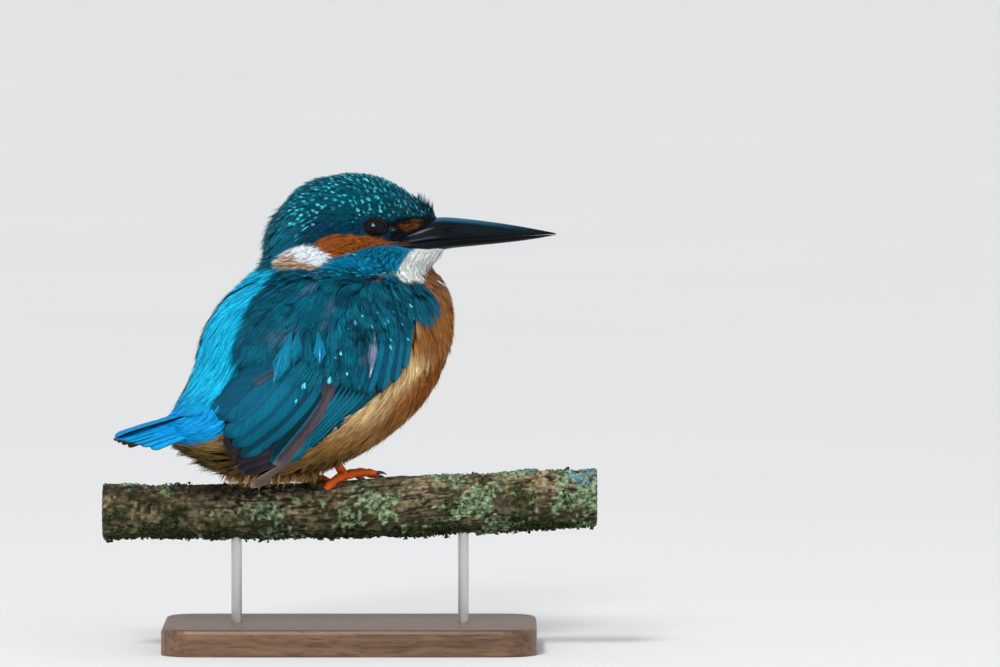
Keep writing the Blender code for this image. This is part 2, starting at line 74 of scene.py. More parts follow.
# Outline of the folded wing on the trunk, and of the flight feathers' tips beyond it: forward, up.
WING_OUTLINE = (
    (4.0, 112.0), (12.0, 110.0), (15.6, 105.0), (15.0, 97.0), (11.5, 88.0), (5.0, 80.5),
    (-4.0, 74.0), (-13.0, 66.5), (-22.0, 61.0), (-31.0, 58.0), (-39.5, 60.5), (-43.5, 66.0),
    (-43.0, 71.5), (-40.8, 77.5), (-39.6, 84.0), (-38.0, 91.0), (-35.2, 97.0), (-30.2, 104.0),
    (-23.0, 110.5), (-14.0, 114.5), (-4.0, 114.4),
)
WING_TIP = (
    (-12, 66), (-26, 53.5), (-33, 49), (-37, 53), (-39, 57), (-41, 62), (-43.5, 66), (-43, 80), (-30, 78),
)


# ---- small helpers -----------------------------------------------------------------------------------------


def to_world(p):
    """A point from the bird's own axes."""
    p = np.asarray(p, float)
    f, l, z = p[..., 0], p[..., 1], p[..., 2]
    c, s = math.cos(YAW), math.sin(YAW)
    return np.stack([BODY_X + f * c - l * s, BODY_Y + f * s + l * c, z], -1)


def to_body(p):
    """A point's place in the bird's own axes."""
    p = np.asarray(p, float)
    x, y = p[..., 0] - BODY_X, p[..., 1] - BODY_Y
    c, s = math.cos(YAW), math.sin(YAW)
    return np.stack([x * c + y * s, -x * s + y * c, p[..., 2]], -1)


def turn_to_world(v):
    """A direction from the bird's own axes."""
    c, s = math.cos(YAW), math.sin(YAW)
    return np.stack([v[..., 0] * c - v[..., 1] * s, v[..., 0] * s + v[..., 1] * c, v[..., 2]], -1)


def unit(v):
    return v / np.maximum(np.linalg.norm(v, axis=-1, keepdims=True), 1e-9)


def ramp(x, low, high):
    """Smooth step from 0 at low to 1 at high."""
    t = np.clip((x - low) / (high - low), 0, 1)
    return t * t * (3 - 2 * t)


def mix(a, b, t):
    return a + (b - a) * t


def over(colours, new, share):
    """The colours with a new one laid over them by its share at each point."""
    return mix(colours, new, np.asarray(share)[..., None])


def srgb(*c):
    """Linear colour from 0..255 display values."""
    c = np.array(c, float) / 255
    return np.where(c <= 0.04045, c / 12.92, ((c + 0.055) / 1.055) ** 2.4)


def lattice(i, seed):
    """A hash from 0 to 1 at whole-numbered places."""
    h = i[..., 0] * 374761393 + i[..., 1] * 668265263 + i[..., 2] * 1440662683
    h = (h + seed * 974634777) & 0xFFFFFFFF
    h = ((h ^ (h >> 13)) * 1274126177) & 0xFFFFFFFF
    return ((h ^ (h >> 16)) & 0xFFFF) / 65535.0


def noise(points, size, seed=0):
    """Smooth value noise from 0 to 1 with features of this size."""
    q = np.asarray(points, float) / size
    base = np.floor(q).astype(np.int64)
    t = q - base
    t = t * t * (3 - 2 * t)
    total = 0
    for corner in np.ndindex(2, 2, 2):
        w = np.where(corner, t, 1 - t)
        total = total + w[..., 0] * w[..., 1] * w[..., 2] * lattice(base + np.array(corner), seed)
    return total


def fractal(points, size, seed=0, octaves=3):
    """Noise in octaves, each half the size and weight of the one before."""
    weights = [0.5**k for k in range(octaves)]
    return sum(noise(points, size * w, seed + k) * w for k, w in enumerate(weights)) / sum(weights)


def smooth_rows(rows, count):
    """The rows resampled along a Catmull-Rom curve through them."""
    rows = np.array(rows, float)
    ends = np.vstack([2 * rows[0] - rows[1], rows, 2 * rows[-1] - rows[-2]])
    at = np.linspace(0, len(rows) - 1, count)
    i = np.minimum(at.astype(int), len(rows) - 2)
    t = (at - i)[:, None]
    a, b, c, d = (ends[i + k] for k in range(4))
    return 0.5 * (2 * b + (c - a) * t + (2 * a - 5 * b + 4 * c - d) * t**2 + (3 * b - a - 3 * c + d) * t**3)


def circle(count):
    return np.linspace(0, TURN, count, endpoint=False)


def rounded(angles, power):
    """The two coordinates of points round a superellipse of this power."""
    c, s = np.cos(angles), np.sin(angles)
    return np.sign(c) * np.abs(c) ** (2 / power), np.sign(s) * np.abs(s) ** (2 / power)


def halved(quads):
    """Each quad as two triangles."""
    return np.vstack([quads[:, [0, 1, 2]], quads[:, [0, 2, 3]]])


def copied(faces, count, each):
    """The faces of one small form repeated for forms of so many points each."""
    return (np.array(faces)[None] + (np.arange(count) * each)[:, None, None]).reshape(-1, 3)


def grid_faces(rows, columns, wrap=False):
    """Quads of a grid of points as pairs of triangles."""
    i, j = np.meshgrid(np.arange(rows - 1), np.arange(columns if wrap else columns - 1), indexing="ij")
    k = (j + 1) % columns
    a, b, c, d = i * columns + j, (i + 1) * columns + j, (i + 1) * columns + k, i * columns + k
    return np.concatenate([np.stack([a, b, c], -1), np.stack([a, c, d], -1)]).reshape(-1, 3)


def ring_surface(rings):
    """Points and triangles of a closed loft."""
    rings = np.array(rings)
    rows, around = rings.shape[:2]
    points = np.vstack([rings.reshape(-1, 3), rings[0].mean(0), rings[-1].mean(0)])
    j = np.arange(around)
    k = (j + 1) % around
    first = np.stack([np.full(around, rows * around), j, k], -1)
    end = (rows - 1) * around
    last = np.stack([np.full(around, rows * around + 1), end + k, end + j], -1)
    return points, np.vstack([grid_faces(rows, around, wrap=True), first, last])


def joined(parts):
    """Several forms of (points, faces) as one."""
    starts = np.cumsum([0] + [len(p) for p, _ in parts[:-1]])
    return np.vstack([p for p, _ in parts]), np.vstack([t + start for (_, t), start in zip(parts, starts)])


def outside(outline, x, z):
    """Signed distance to a closed outline: negative inside it."""
    o = np.array(outline, float)
    x, z = np.asarray(x, float), np.asarray(z, float)
    best = np.full(x.shape, 1e9)
    inside = np.zeros(x.shape, bool)
    for (ax, az), (bx, bz) in zip(o, np.roll(o, -1, 0)):
        best = np.minimum(best, to_segment(x, z, (ax, az), (bx, bz))[0])
        crosses = ((az > z) != (bz > z)) & (x < (bx - ax) * (z - az) / (bz - az if bz != az else 1e-9) + ax)
        inside ^= crosses
    return np.where(inside, -best, best)


def to_segment(x, z, start, end):
    """Distance to a straight line between two places, and the share along it of the nearest place."""
    (ax, az), ex, ez = start, end[0] - start[0], end[1] - start[1]
    t = np.clip(((x - ax) * ex + (z - az) * ez) / (ex * ex + ez * ez), 0, 1)
    return np.hypot(x - ax - t * ex, z - az - t * ez), t


def make_mesh(name, points, tris):
    """A smooth mesh object from arrays, points in millimetres."""
    points = np.ascontiguousarray(points, np.float32) * np.float32(MM)
    tris = np.ascontiguousarray(tris, np.int32)
    mesh = bpy.data.meshes.new(name)
    mesh.vertices.add(len(points))
    mesh.vertices.foreach_set("co", points.ravel())
    mesh.loops.add(len(tris) * 3)
    mesh.loops.foreach_set("vertex_index", tris.ravel())
    mesh.polygons.add(len(tris))
    mesh.polygons.foreach_set("loop_start", np.arange(0, len(tris) * 3, 3, dtype=np.int32))
    mesh.polygons.foreach_set("use_smooth", np.ones(len(tris), bool))
    mesh.update(calc_edges=True)
    obj = bpy.data.objects.new(name, mesh)
    bpy.context.collection.objects.link(obj)
    return obj


def read_mesh(mesh, faces, key, corners):
    """Points in millimetres and faces of a mesh, as arrays."""
    co = np.zeros(len(mesh.vertices) * 3, np.float32)
    mesh.vertices.foreach_get("co", co)
    index = np.zeros(len(faces) * corners, np.int32)
    faces.foreach_get(key, index)
    return co.reshape(-1, 3).astype(float) / MM, index.reshape(-1, corners)


def cad_form(name):
    """Points and triangles of a CAD node."""
    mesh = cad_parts[name].data
    mesh.calc_loop_triangles()
    return read_mesh(mesh, mesh.loop_triangles, "vertices", 3)


def give_colours(obj, colours):
    data = obj.data.attributes.new("tint", "FLOAT_COLOR", "POINT").data
    full = np.ones((len(colours), 4), np.float32)
    full[:, :3] = np.clip(colours, 0, 1)
    data.foreach_set("color", full.ravel())


def give_webs(obj, vectors):
    """Each point's place on its feather: across it, along it, and its share of the length."""
    data = obj.data.attributes.new("web", "FLOAT_VECTOR", "POINT").data
    data.foreach_set("vector", np.ascontiguousarray(vectors, np.float32).ravel())


def give_map(obj, uv, tris):
    layer = obj.data.uv_layers.new(name="OFBake")
    layer.data.foreach_set("uv", np.ascontiguousarray(uv[tris.ravel()], np.float32).ravel())


def make_piece(name, points, tris, material, slot, *nodes, tints=None, uv=None):
    """A mesh with its colours, map, finish and body, which hides the nodes it stands for."""
    obj = make_mesh(name, points, tris)
    if tints is not None:
        give_colours(obj, tints)
    if uv is not None:
        give_map(obj, uv, tris)
    obj.data.materials.append(material)
    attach(obj, "root")
    if nodes:
        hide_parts(*nodes)
    return obj


# ---- materials ---------------------------------------------------------------------------------------------


def three(value):
    """A colour as it is, or a number as a grey."""
    return value if isinstance(value, tuple) else (value,) * 3


class Finish:
    """A short way to write a node material."""

    def __init__(self, name, **sockets):
        self.material = bpy.data.materials.new(name)
        self.material.use_nodes = True
        self.tree = self.material.node_tree
        self.shader = self.tree.nodes["Principled BSDF"]
        for socket, value in sockets.items():
            self.shader.inputs[socket.replace("_", " ")].default_value = value

    def feed(self, socket, value):
        """A link from a node, or a fixed value."""
        if isinstance(value, bpy.types.NodeSocket):
            self.tree.links.new(value, socket)
        else:
            socket.default_value = value

    def add(self, kind, inputs=None, **settings):
        node = self.tree.nodes.new("ShaderNode" + kind)
        for key, value in settings.items():
            setattr(node, key, value)
        for key, value in (inputs or {}).items():
            self.feed(node.inputs[key], value)
        return node

    def math(self, operation, a, b=0.0):
        return self.add("Math", {0: a, 1: b}, operation=operation).outputs[0]

    def times(self, a, b):
        return self.math("MULTIPLY", a, b)

    def plus(self, a, b):
        return self.math("ADD", a, b)

    def span(self, value, low, high, to_low=0.0, to_high=1.0):
        inputs = {"Value": value, "From Min": low, "From Max": high, "To Min": to_low, "To Max": to_high}
        return self.add("MapRange", inputs, interpolation_type="SMOOTHSTEP").outputs[0]

    def attribute(self, name, output="Color"):
        return self.add("Attribute", attribute_name=name).outputs[output]

    def place(self):
        return self.add("TexCoord").outputs["Object"]

    def vector(self, x, y, z):
        return self.add("CombineXYZ", {0: x, 1: y, 2: z}).outputs[0]

    def stretched(self, vector, *scale):
        return self.add("Mapping", {"Vector": vector, "Scale": scale}).outputs[0]

    def noise(self, scale, detail=3.0, rough=0.55, vector=None):
        inputs = {"Vector": vector or self.place(), "Scale": scale, "Detail": detail, "Roughness": rough}
        return self.add("TexNoise", inputs).outputs["Fac"]

    def blend(self, share, a, b, kind="MIX"):
        """Two colours mixed by share; a plain number is a grey."""
        node = self.add("Mix", data_type="RGBA", blend_type=kind)
        for key, value in (("Factor_Float", share), ("A_Color", a), ("B_Color", b)):
            socket = next(s for s in node.inputs if s.identifier == key)
            linked = key == "Factor_Float" or isinstance(value, bpy.types.NodeSocket)
            self.feed(socket, value if linked else (*three(value), 1.0))
        return next(s for s in node.outputs if s.identifier == "Result_Color")

    def dyed(self, colour, share, low, high):
        """The colour multiplied by a blend of two others."""
        return self.blend(1.0, colour, self.blend(share, low, high), "MULTIPLY")

    def done(self, colour, rough, height=None, strength=0.0, distance=0.0):
        """Links the colour, roughness and bump, and gives the finished material."""
        self.feed(self.shader.inputs["Base Color"], colour)
        if rough is not None:
            self.feed(self.shader.inputs["Roughness"], rough)
        if height is not None:
            bump = self.add("Bump", {"Height": height, "Strength": strength, "Distance": distance})
            self.feed(self.shader.inputs["Normal"], bump.outputs[0])
        return self.material


def coat_finish(name, rough=0.5, sheen=0.0, specular=0.15, glint=(1.0, 1.0, 1.0)):
    """Loose barbs: the colour of each is on the mesh, with fine mottling along it."""
    gloss = dict(Specular_IOR_Level=specular, Specular_Tint=(*glint, 1.0))
    f = Finish(name, Sheen_Weight=sheen, Sheen_Roughness=0.4, **gloss)
    tint = f.attribute("tint")
    fine = f.noise(1800.0, 2.0)
    broad = f.noise(260.0, 2.0)
    lit = f.dyed(f.blend(f.span(fine, 0.3, 0.7), 0.84, 1.14), broad, 0.88, 1.12)
    colour = f.blend(1.0, tint, lit, "MULTIPLY")
    blotches = f.span(fine, 0.25, 0.75, rough - 0.08, rough + 0.1)
    return f.done(colour, blotches, f.noise(5200.0, 1.0), 0.25, 0.00006)


# ---- the body's full surface, out to the tips of the coat --------------------------------------------------


def trunk_rings(count=70, around=96):
    down, across = rounded(circle(around), 2.15)
    rings = []
    for back_f, back_z, belly_f, belly_z, half_width in smooth_rows(TRUNK, count):
        top, bottom = np.array((back_f, back_z)), np.array((belly_f, belly_z))
        spots = (top + bottom) / 2 + np.outer(-down / 2, bottom - top)
        rings.append(to_world(np.column_stack([spots[:, 0], across * max(half_width, 1), spots[:, 1]])))
    return rings


def head_rings(count=60, around=80):
    up, across = rounded(circle(around), 2.2)
    rings = []
    for x, top, bottom, half_width in smooth_rows(HEAD, count):
        y = HEAD_Y + across * half_width * (1 - 0.07 * up)
        rings.append(np.column_stack([np.full(around, x), y, (top + bottom) / 2 + up * (top - bottom) / 2]))
    return rings


def remeshed(parts, voxel):
    """The parts joined into one even mesh: its points and quads."""
    obj = make_mesh("uneven", *joined(parts))
    step = obj.modifiers.new("even", "REMESH")
    step.mode, step.voxel_size, step.use_smooth_shade = "VOXEL", voxel * MM, True
    graph = bpy.context.evaluated_depsgraph_get()
    mesh = bpy.data.meshes.new_from_object(obj.evaluated_get(graph))
    bpy.data.objects.remove(obj)
    points, quads = read_mesh(mesh, mesh.loops, "vertex_index", 1)
    bpy.data.meshes.remove(mesh)
    return points, quads.reshape(-1, 4)


SETTLE = (0.6, -0.55)  # a step in and a step out, which smooth a form without shrinking it
FILL = (0.5,)  # a step in, which fills its folds


def smoothed(points, quads, steps, weight=1.0):
    """Moves each point towards its neighbours' mean, or away from it, by each step in turn."""
    edges = np.vstack([quads[:, [k, (k + 1) % 4]] for k in range(4)])
    both = np.vstack([edges, edges[:, ::-1]])
    count = np.bincount(both[:, 0], minlength=len(points))[:, None]
    weight = np.broadcast_to(weight, (len(points),))[:, None]
    for step in steps:
        total = np.stack([np.bincount(both[:, 0], points[both[:, 1], k], len(points)) for k in range(3)], -1)
        points = points + step * weight * (total / count - points)
    return points


def vertex_normals(points, quads):
    """The smooth normal at each point, weighted by the size of the quads round it."""
    face = np.cross(points[quads[:, 2]] - points[quads[:, 0]], points[quads[:, 3]] - points[quads[:, 1]])
    total = np.zeros_like(points)
    for k in range(4):
        for axis in range(3):
            total[:, axis] += np.bincount(quads[:, k], face[:, axis], len(points))
    return unit(total)


class Surface:
    """A quad surface that answers with the nearest point and the smooth normal there."""

    def __init__(self, points, quads):
        self.points, self.quads = points, quads
        self.normals = vertex_normals(points, quads)
        self.tree = BVHTree.FromPolygons(points.tolist(), quads.tolist())

    def near(self, spots):
        found = [self.tree.find_nearest(Vector(p)) for p in spots.tolist()]
        at = np.array([f[0][:] for f in found])
        quads = self.quads[[f[2] for f in found]]
        apart = np.linalg.norm(self.points[quads] - at[:, None], axis=-1)
        weight = 1 / (apart**2 + 0.02)
        return at, unit((self.normals[quads] * weight[..., None]).sum(1))

    def pool(self, count):
        """Evenly scattered points on the surface."""
        a, b, c, d = (self.points[self.quads[:, k]] for k in range(4))
        area = np.linalg.norm(np.cross(c - a, d - b), axis=1) / 2
        pick = np.searchsorted(np.cumsum(area) / area.sum(), rng.random(count)).clip(0, len(area) - 1)
        u, v = rng.random(count)[:, None], rng.random(count)[:, None]
        return (a[pick] * (1 - u) + b[pick] * u) * (1 - v) + (d[pick] * (1 - u) + c[pick] * u) * v


full_points, full_quads = remeshed([ring_surface(trunk_rings()), ring_surface(head_rings())], 0.8)
full_points = smoothed(full_points, full_quads, SETTLE * 4)
neck_fold = ramp(full_points[:, 2], 103, 110) * ramp(-full_points[:, 2], -122, -113)
FULL = Surface(smoothed(full_points, full_quads, FILL * 45, neck_fold), full_quads)


# ---- markings ----------------------------------------------------------------------------------------------

# Outlines on the side of the head: along X, up.
EAR_PATCH = (
    (-11.2, 121.7), (-9, 123.6), (-4.6, 124.9), (-1.4, 124.6), (3.4, 124.1), (8.2, 123.5),
    (12.0, 122.9), (13.0, 121.6), (8.0, 121.2), (3.6, 120.4), (1.0, 119.7), (-2.2, 118.5),
    (-4.8, 117.5), (-6.6, 118.6), (-9.4, 120.5),
)
NECK_PATCH = (
    (-21.5, 117.2), (-18.5, 119.8), (-14.8, 121.4), (-11, 121.6), (-8.6, 120.4), (-4.9, 118.1),
    (-7.8, 115.4), (-11.8, 114.4), (-15, 114.9), (-21, 113.9), (-22.8, 115.1),
)
THROAT = (
    (31, 119.9), (29, 116.5), (25, 115.5), (23.5, 113.5), (22.0, 109.8), (16.0, 110.2), (13.2, 112.9),
    (16.4, 116.9), (17.8, 118.9), (21, 119.9),
)
LORE_PATCH = (
    (13, 129.0), (11.3, 127.5), (12.2, 124.2), (10.5, 122.8), (13, 121.6), (20, 124.8), (27, 128.9),
    (25, 130.6), (20, 129.8), (16, 129.9),
)
BARE_BILL = (
    (26.6, 129.1), (19.5, 125.6), (12.6, 121.9), (12.6, 121.2), (19, 119.9), (24, 119.4),
    (30, 119.5), (70, 121), (70, 129),
)
# Violet patches on the shoulder: forward, up, half length, half width.
VIOLET_PATCHES = (
    (-27.6, 96.0, 4.2, 2.2), (-15.2, 110.4, 4.6, 1.4), (-12.8, 103.0, 2.6, 1.4), (-15.6, 98.4, 2.4, 1.5),
)

CROWN, HEAD_SIDE, MALAR = srgb(4, 73, 90), srgb(4, 56, 78), srgb(5, 126, 164)
EAR, WHITE, BUFF, CHIN = srgb(160, 82, 20), srgb(236, 244, 250), srgb(180, 138, 94), srgb(232, 236, 232)
LORE, LORE_ORANGE, FLECK = srgb(11, 11, 13), srgb(140, 74, 14), srgb(122, 114, 108)
STRIPE, RUMP = srgb(20, 192, 232), srgb(14, 160, 226)
MANTLE, TEAL, VIOLET = srgb(6, 84, 106), srgb(8, 104, 130), srgb(96, 108, 140)
BREAST_TOP, BREAST, TAWNY = srgb(156, 106, 68), srgb(168, 108, 48), srgb(174, 106, 44)
CREAM, BELLY, VENT = srgb(244, 212, 158), srgb(182, 136, 74), srgb(138, 112, 62)
FAR = 2.5  # the stripe runs this much further over the bird's left side
RISING = np.array(TRUNK)[::-1]


def back_line(z):
    """How far forward the back is at each height."""
    return np.interp(z, RISING[:, 1], RISING[:, 0])


def wing_front(z):
    """How far forward the folded wing reaches at each height."""
    heights = (54, 58.2, 60, 63.7, 69.9, 78.1, 83.9, 91.1, 97.6, 105.7, 112)
    return np.interp(z, heights, (-36, -21, -18.4, -14.8, -9.8, -3.3, 7.3, 10.0, 13.3, 14.6, 13))


def teal_front(z):
    """How far forward the teal of the side reaches at each height."""
    heights = (54, 58, 60, 63.7, 69.9, 78, 84, 91, 96, 97.5, 100.6, 104, 110, 116)
    return np.interp(z, heights, (-36, -21, -18.4, -14.8, -9.8, -3.3, 7.3, 10, 13, 18.5, 27.0, 27.0, 22, 19))


def stripe_half(z):
    """Half width of the bright stripe down the back."""
    return np.interp(z, (60, 74, 80, 88, 100, 110, 119), (19, 17.5, 14.5, 9.2, 7.8, 5.4, 4.4))


def vent_line(f):
    """Height below which the side under the tail's root is brown."""
    return np.interp(f, (-60, -50, -45, -36, -30), (61.0, 63.0, 66.0, 67.5, 70.0))


def patches(f, z):
    """How much of the shoulder's violet is at each place."""
    share = 0
    for pf, pz, long, wide in VIOLET_PATCHES:
        a, b = 0.75 * (f - pf) + 0.66 * (z - pz), 0.66 * (f - pf) - 0.75 * (z - pz)
        share = np.maximum(share, np.exp(-((a / long) ** 4) - (b / wide) ** 4))
    return share


def trunk_colour(p, b, wave, small, edge):
    """The breast and belly, the teal of the shoulders and the bright stripe down the back."""
    f, l, z = b[..., 0], b[..., 1], b[..., 2]
    ahead = f - wing_front(z)
    colour = over(CREAM, TAWNY, ramp(ahead + edge * 1.6, 7, 19))
    colour = over(colour, BREAST, ramp(z + edge, 84, 91) * ramp(ahead, 0.5, 5))
    colour = over(colour, BREAST_TOP, ramp(z + edge, 98, 107))
    colour = over(colour, BELLY, ramp(-z + edge, -74, -62))
    # painted shade: the lowest part of the belly darker, as the underside in shadow
    colour = over(colour, srgb(120, 92, 52), 0.6 * ramp(-z + edge, -64, -56))
    colour = over(colour, VENT, ramp(-f + edge, 26, 36) * ramp(-z, -78, -66))
    pale = ramp(fractal(b * np.array((1, 1, 0.45)), 4.5, 31, 2), 0.5, 0.75)
    colour = over(colour, CREAM, 0.22 * (pale * ramp(-z, -96, -84) * ramp(z, 58, 66)))
    teal = ramp(teal_front(z) - f + edge * 0.8, -0.8, 0.8) * np.where(f > 10, ramp(np.abs(l), 9.5, 12.5), 1)
    mantle = over(MANTLE, TEAL, ramp(wave, -0.12, 0.16))
    mantle = over(mantle, srgb(8, 60, 84), ramp(fractal(p, 3.0, 57, 2), 0.52, 0.72) * 0.8)
    violet = 0.55 * patches(f + edge * 0.8, z + small * 3) * ramp(fractal(p, 1.2, 58, 2), 0.35, 0.6)
    colour = over(colour, over(mantle, VIOLET, violet), teal * ramp(z, 72, 75))
    stripe = ramp(stripe_half(z) + FAR - np.abs(l - FAR) + edge * 0.9, -0.7, 0.7)
    stripe = stripe * ramp(back_line(z) + 22 - f, -2, 2)
    stripe = stripe * ramp(z - vent_line(f) + edge * np.interp(f, (-48, -44), (0.15, 0.5)), -0.5, 0.5)
    return over(colour, over(STRIPE, RUMP, ramp(-z + edge, -80, -70)), stripe)


def face_colour(head, p, small):
    """The dark lore before the eye, with its orange and grey marks."""
    x, z, s = p[..., 0], p[..., 2], np.abs(p[..., 1] - HEAD_Y)
    head = over(head, LORE, ramp(-outside(LORE_PATCH, x, z) + small * 0.8, -0.4, 0.4) * ramp(s, 1.5, 3.5))
    orange = np.hypot((x - 18.2) / 3.4, (z - 127.3 - (x - 18.2) * 0.12) / 1.8)
    mottled = ramp(fractal(p * np.array((0.5, 1, 1.6)), 1.1, 19, 2), 0.42, 0.56)
    mottled = mottled * ramp(np.hypot(x - 18.0, (z - 126.8) * 1.4), 0.4, 1.6)
    orange = ramp(-orange + small * 0.5, -1.2, -0.6) * ramp(s, 3, 5) * (0.15 + 0.85 * mottled)
    head = over(head, LORE_ORANGE, orange)
    fleck = np.hypot((x - 12.6) / 1.5, (z - 125.9) / 1.0)
    broken = ramp(fractal(p, 0.7, 21, 2), 0.4, 0.6)
    return over(head, FLECK, ramp(-fleck + small * 0.5, -1.15, -0.5) * ramp(s, 3, 5) * broken * 0.8)


def head_colour(p, small, edge, throat):
    """The crown, cheek, ear and neck patches, throat and face."""
    x, z, s = p[..., 0], p[..., 2], np.abs(p[..., 1] - HEAD_Y)
    head = over(HEAD_SIDE, CROWN, ramp(z + edge, 127, 131))
    head = over(head, srgb(4, 104, 124), 0.55 * ramp(z + edge, 131, 137))
    # painted sheen: a mottled lilac-grey on the front of the crown above the eye
    brow = 0.5 * ramp(x, 13, 18) * ramp(z + edge, 130, 133) * ramp(fractal(p, 1.1, 31, 2), 0.42, 0.6)
    head = over(head, srgb(70, 98, 132), brow)
    malar = ramp(np.interp(x, (-8, 2, 12), (118.5, 120.6, 121.4)) - z + edge * 0.5, -0.8, 0.8)
    head = over(head, MALAR, malar * ramp(z, 110, 113) * ramp(x, -14, -6))
    # painted shadow: a dark band under the rear of the cheek stripe, where it meets the mantle
    cheek_shadow = ramp(-np.abs(z - 114.4 - x * 0.05) + edge * 0.5, -1.2, -0.2)
    head = over(head, srgb(3, 34, 56), 0.65 * (cheek_shadow * ramp(x, -10, -7) * ramp(-x, -4.5, -1.5)))
    head = over(head, srgb(14, 96, 118), ramp(-x, 12, 20))
    head = over(head, STRIPE, ramp(-s, -6.5, -4.5) * ramp(-x, 14, 19) * ramp(-z, -119, -113))
    head = over(head, BREAST_TOP, ramp(x, 21.5, 23.5) * ramp(-z + edge * 0.4, -117.5, -116))
    head = over(head, CHIN, throat)
    rim = ramp(-np.abs(z - np.interp(x, (6, 13.5), (112.1, 113.0))) + small * 0.8, -0.8, -0.2)
    head = over(head, srgb(140, 88, 56), 0.7 * rim * ramp(x, 3, 6.5) * ramp(-x, -14.5, -13.2))
    beside, neck = ramp(s, 4, 7), -outside(NECK_PATCH, x, z)
    head = over(head, WHITE, ramp(neck + edge * 0.4, -0.4, 0.4) * beside)
    buff = ramp(neck, -0.5, 0.6) * beside
    buff = buff * ramp(np.interp(x, (-23, -17, -9), (118.8, 117.9, 116.0)) - z + edge * 0.7, -0.9, 0.9)
    head = over(head, BUFF, buff * 0.9)
    head = over(head, EAR, ramp(-outside(EAR_PATCH, x, z) + edge * 0.4, -0.4, 0.4) * beside)
    return face_colour(head, p, small)


def paint(p):
    """Linear colour of the plumage at each point of the full surface."""
    x, z, s = p[..., 0], p[..., 2], np.abs(p[..., 1] - HEAD_Y)
    wave = fractal(p, 6.0, 3) - 0.5
    small = fractal(p, 1.6, 9, 2) - 0.5
    edge = wave * 3.0 + small * 1.6
    throat = ramp(-outside(THROAT, x, z) + edge * 0.35, -0.35, 0.35)
    throat = throat * ramp(HEAD_Y + 10 - p[..., 1] + edge, -0.6, 0.6)
    is_head = ramp(z + edge * 0.5, 112.4, 114.4)
    is_head = np.maximum(is_head, throat * ramp(z, 108.5, 109.5))
    is_head = np.maximum(is_head, ramp(z, 110.2, 111.2) * ramp(x, 4, 7) * ramp(-x, -24, -22) * ramp(s, 4, 8))
    return over(trunk_colour(p, to_body(p), wave, small, edge), head_colour(p, small, edge, throat), is_head)


def coat_depth(p):
    """How deep the skin lies under the coat's tips."""
    x, z = p[..., 0], p[..., 2]
    depth = mix(2.2, 2.8, ramp(-to_body(p)[..., 0], 20, 40) * ramp(-z, -72, -60))
    depth = mix(depth, 1.2, ramp(z, 113, 122))
    depth = mix(depth, 0.8, ramp(z, 116, 120) * ramp(x, -2, 8))
    return mix(depth, 2.6, ramp(-outside(BARE_BILL, x, z), -0.4, 0.8))


def along_surface(flow, n):
    """The direction without its part across the surface."""
    return unit(flow - (flow * n).sum(-1, keepdims=True) * n)


def lie(p, n):
    """Direction in which the coat lies at each point, along the surface."""
    f, x, z = to_body(p)[..., 0], p[..., 0], p[..., 2]
    slope = np.interp(z, (55, 60, 75, 95, 110), (2.2, 2.0, 0.8, 0.35, 0.3))
    slope = slope + 0.5 * ramp(z, 80, 92) * (-f / 30) + 4.0 * ramp(-f, 44, 55)
    trunk = unit(turn_to_world(np.stack([-slope, 0 * f, -np.ones_like(f)], -1)))
    down = 0.12 + 1.0 * ramp(-x, -5, 24)
    head = np.stack([-np.ones_like(x), 0 * x, -down], -1)
    head = over(head, np.array((-0.5, 0.0, -0.85)), ramp(-z, -120.5, -117.5) * ramp(x, 8, 13))
    reach = np.stack([x - EYE_X, 0 * x, z - EYE_Z], -1)
    away = np.linalg.norm(reach, axis=-1)
    head = unit(head) + 0.75 * (np.exp(-((away / 6.0) ** 2)) * ramp(away, 0.5, 3))[..., None] * unit(reach)
    flow = over(trunk, unit(head), ramp(z, 108, 116))
    bend = (noise(p, 11.0, 71) - 0.5) * 0.5
    return along_surface(flow + bend[..., None] * np.cross(n, unit(flow)), n)


# ---- tufts -------------------------------------------------------------------------------------------------


def thinned(points, apart):
    """The points without those closer than apart to one that is kept."""
    tree = KDTree(len(points))
    rows = points.tolist()
    for i, p in enumerate(rows):
        tree.insert(p, i)
    tree.balance()
    gone, kept = bytearray(len(rows)), []
    for i, p in enumerate(rows):
        if not gone[i]:
            kept.append(i)
            for _, j, _ in tree.find_range(p, apart):
                gone[j] = 1
    return points[np.array(kept)]


def varied(size, count, by=0.12):
    """A size for each of so many, spread by this share."""
    return size * np.exp(rng.normal(0, by, count))


def combed(roots, length, jitter=0.1, curl=0.0, surface=FULL, flow=lie, steps=5):
    """Lines that start at the roots and follow the lie of the coat."""
    at, n = surface.near(roots)
    turn = rng.normal(0, jitter, len(at))
    bend = rng.normal(0, curl, len(at))
    length = np.broadcast_to(length, (len(at),))
    rows = []
    for step in range(steps + 1):
        d = flow(at, n)
        swing = turn + bend * step / steps
        d = d * np.cos(swing)[:, None] + np.cross(n, d) * np.sin(swing)[:, None]
        rows.append((at, n, np.cross(n, d)))
        if step < steps:
            at, n = surface.near(at + d * (length / steps)[:, None])
    return tuple(np.stack(part, 1) for part in zip(*rows))


def along(rows, t):
    """Rows (tufts, steps, 3) read at the shares t (tufts, ...)."""
    steps = rows.shape[1] - 1
    q = np.clip(t, 0, 1) * steps
    i = np.minimum(q.astype(int), steps - 1)
    w = (q - i)[..., None]
    index = np.arange(len(rows)).reshape((-1,) + (1,) * (t.ndim - 1))
    return rows[index, i] * (1 - w) + rows[index, i + 1] * w


def cut(lines, share):
    """The lines resampled at these shares of their length."""
    return tuple(along(rows, share) for rows in lines)


MAP_FLOOR, MAP_TALL, MAP_EDGE = 48, 98, 0.02  # lowest height, reach and margin of the skin's map


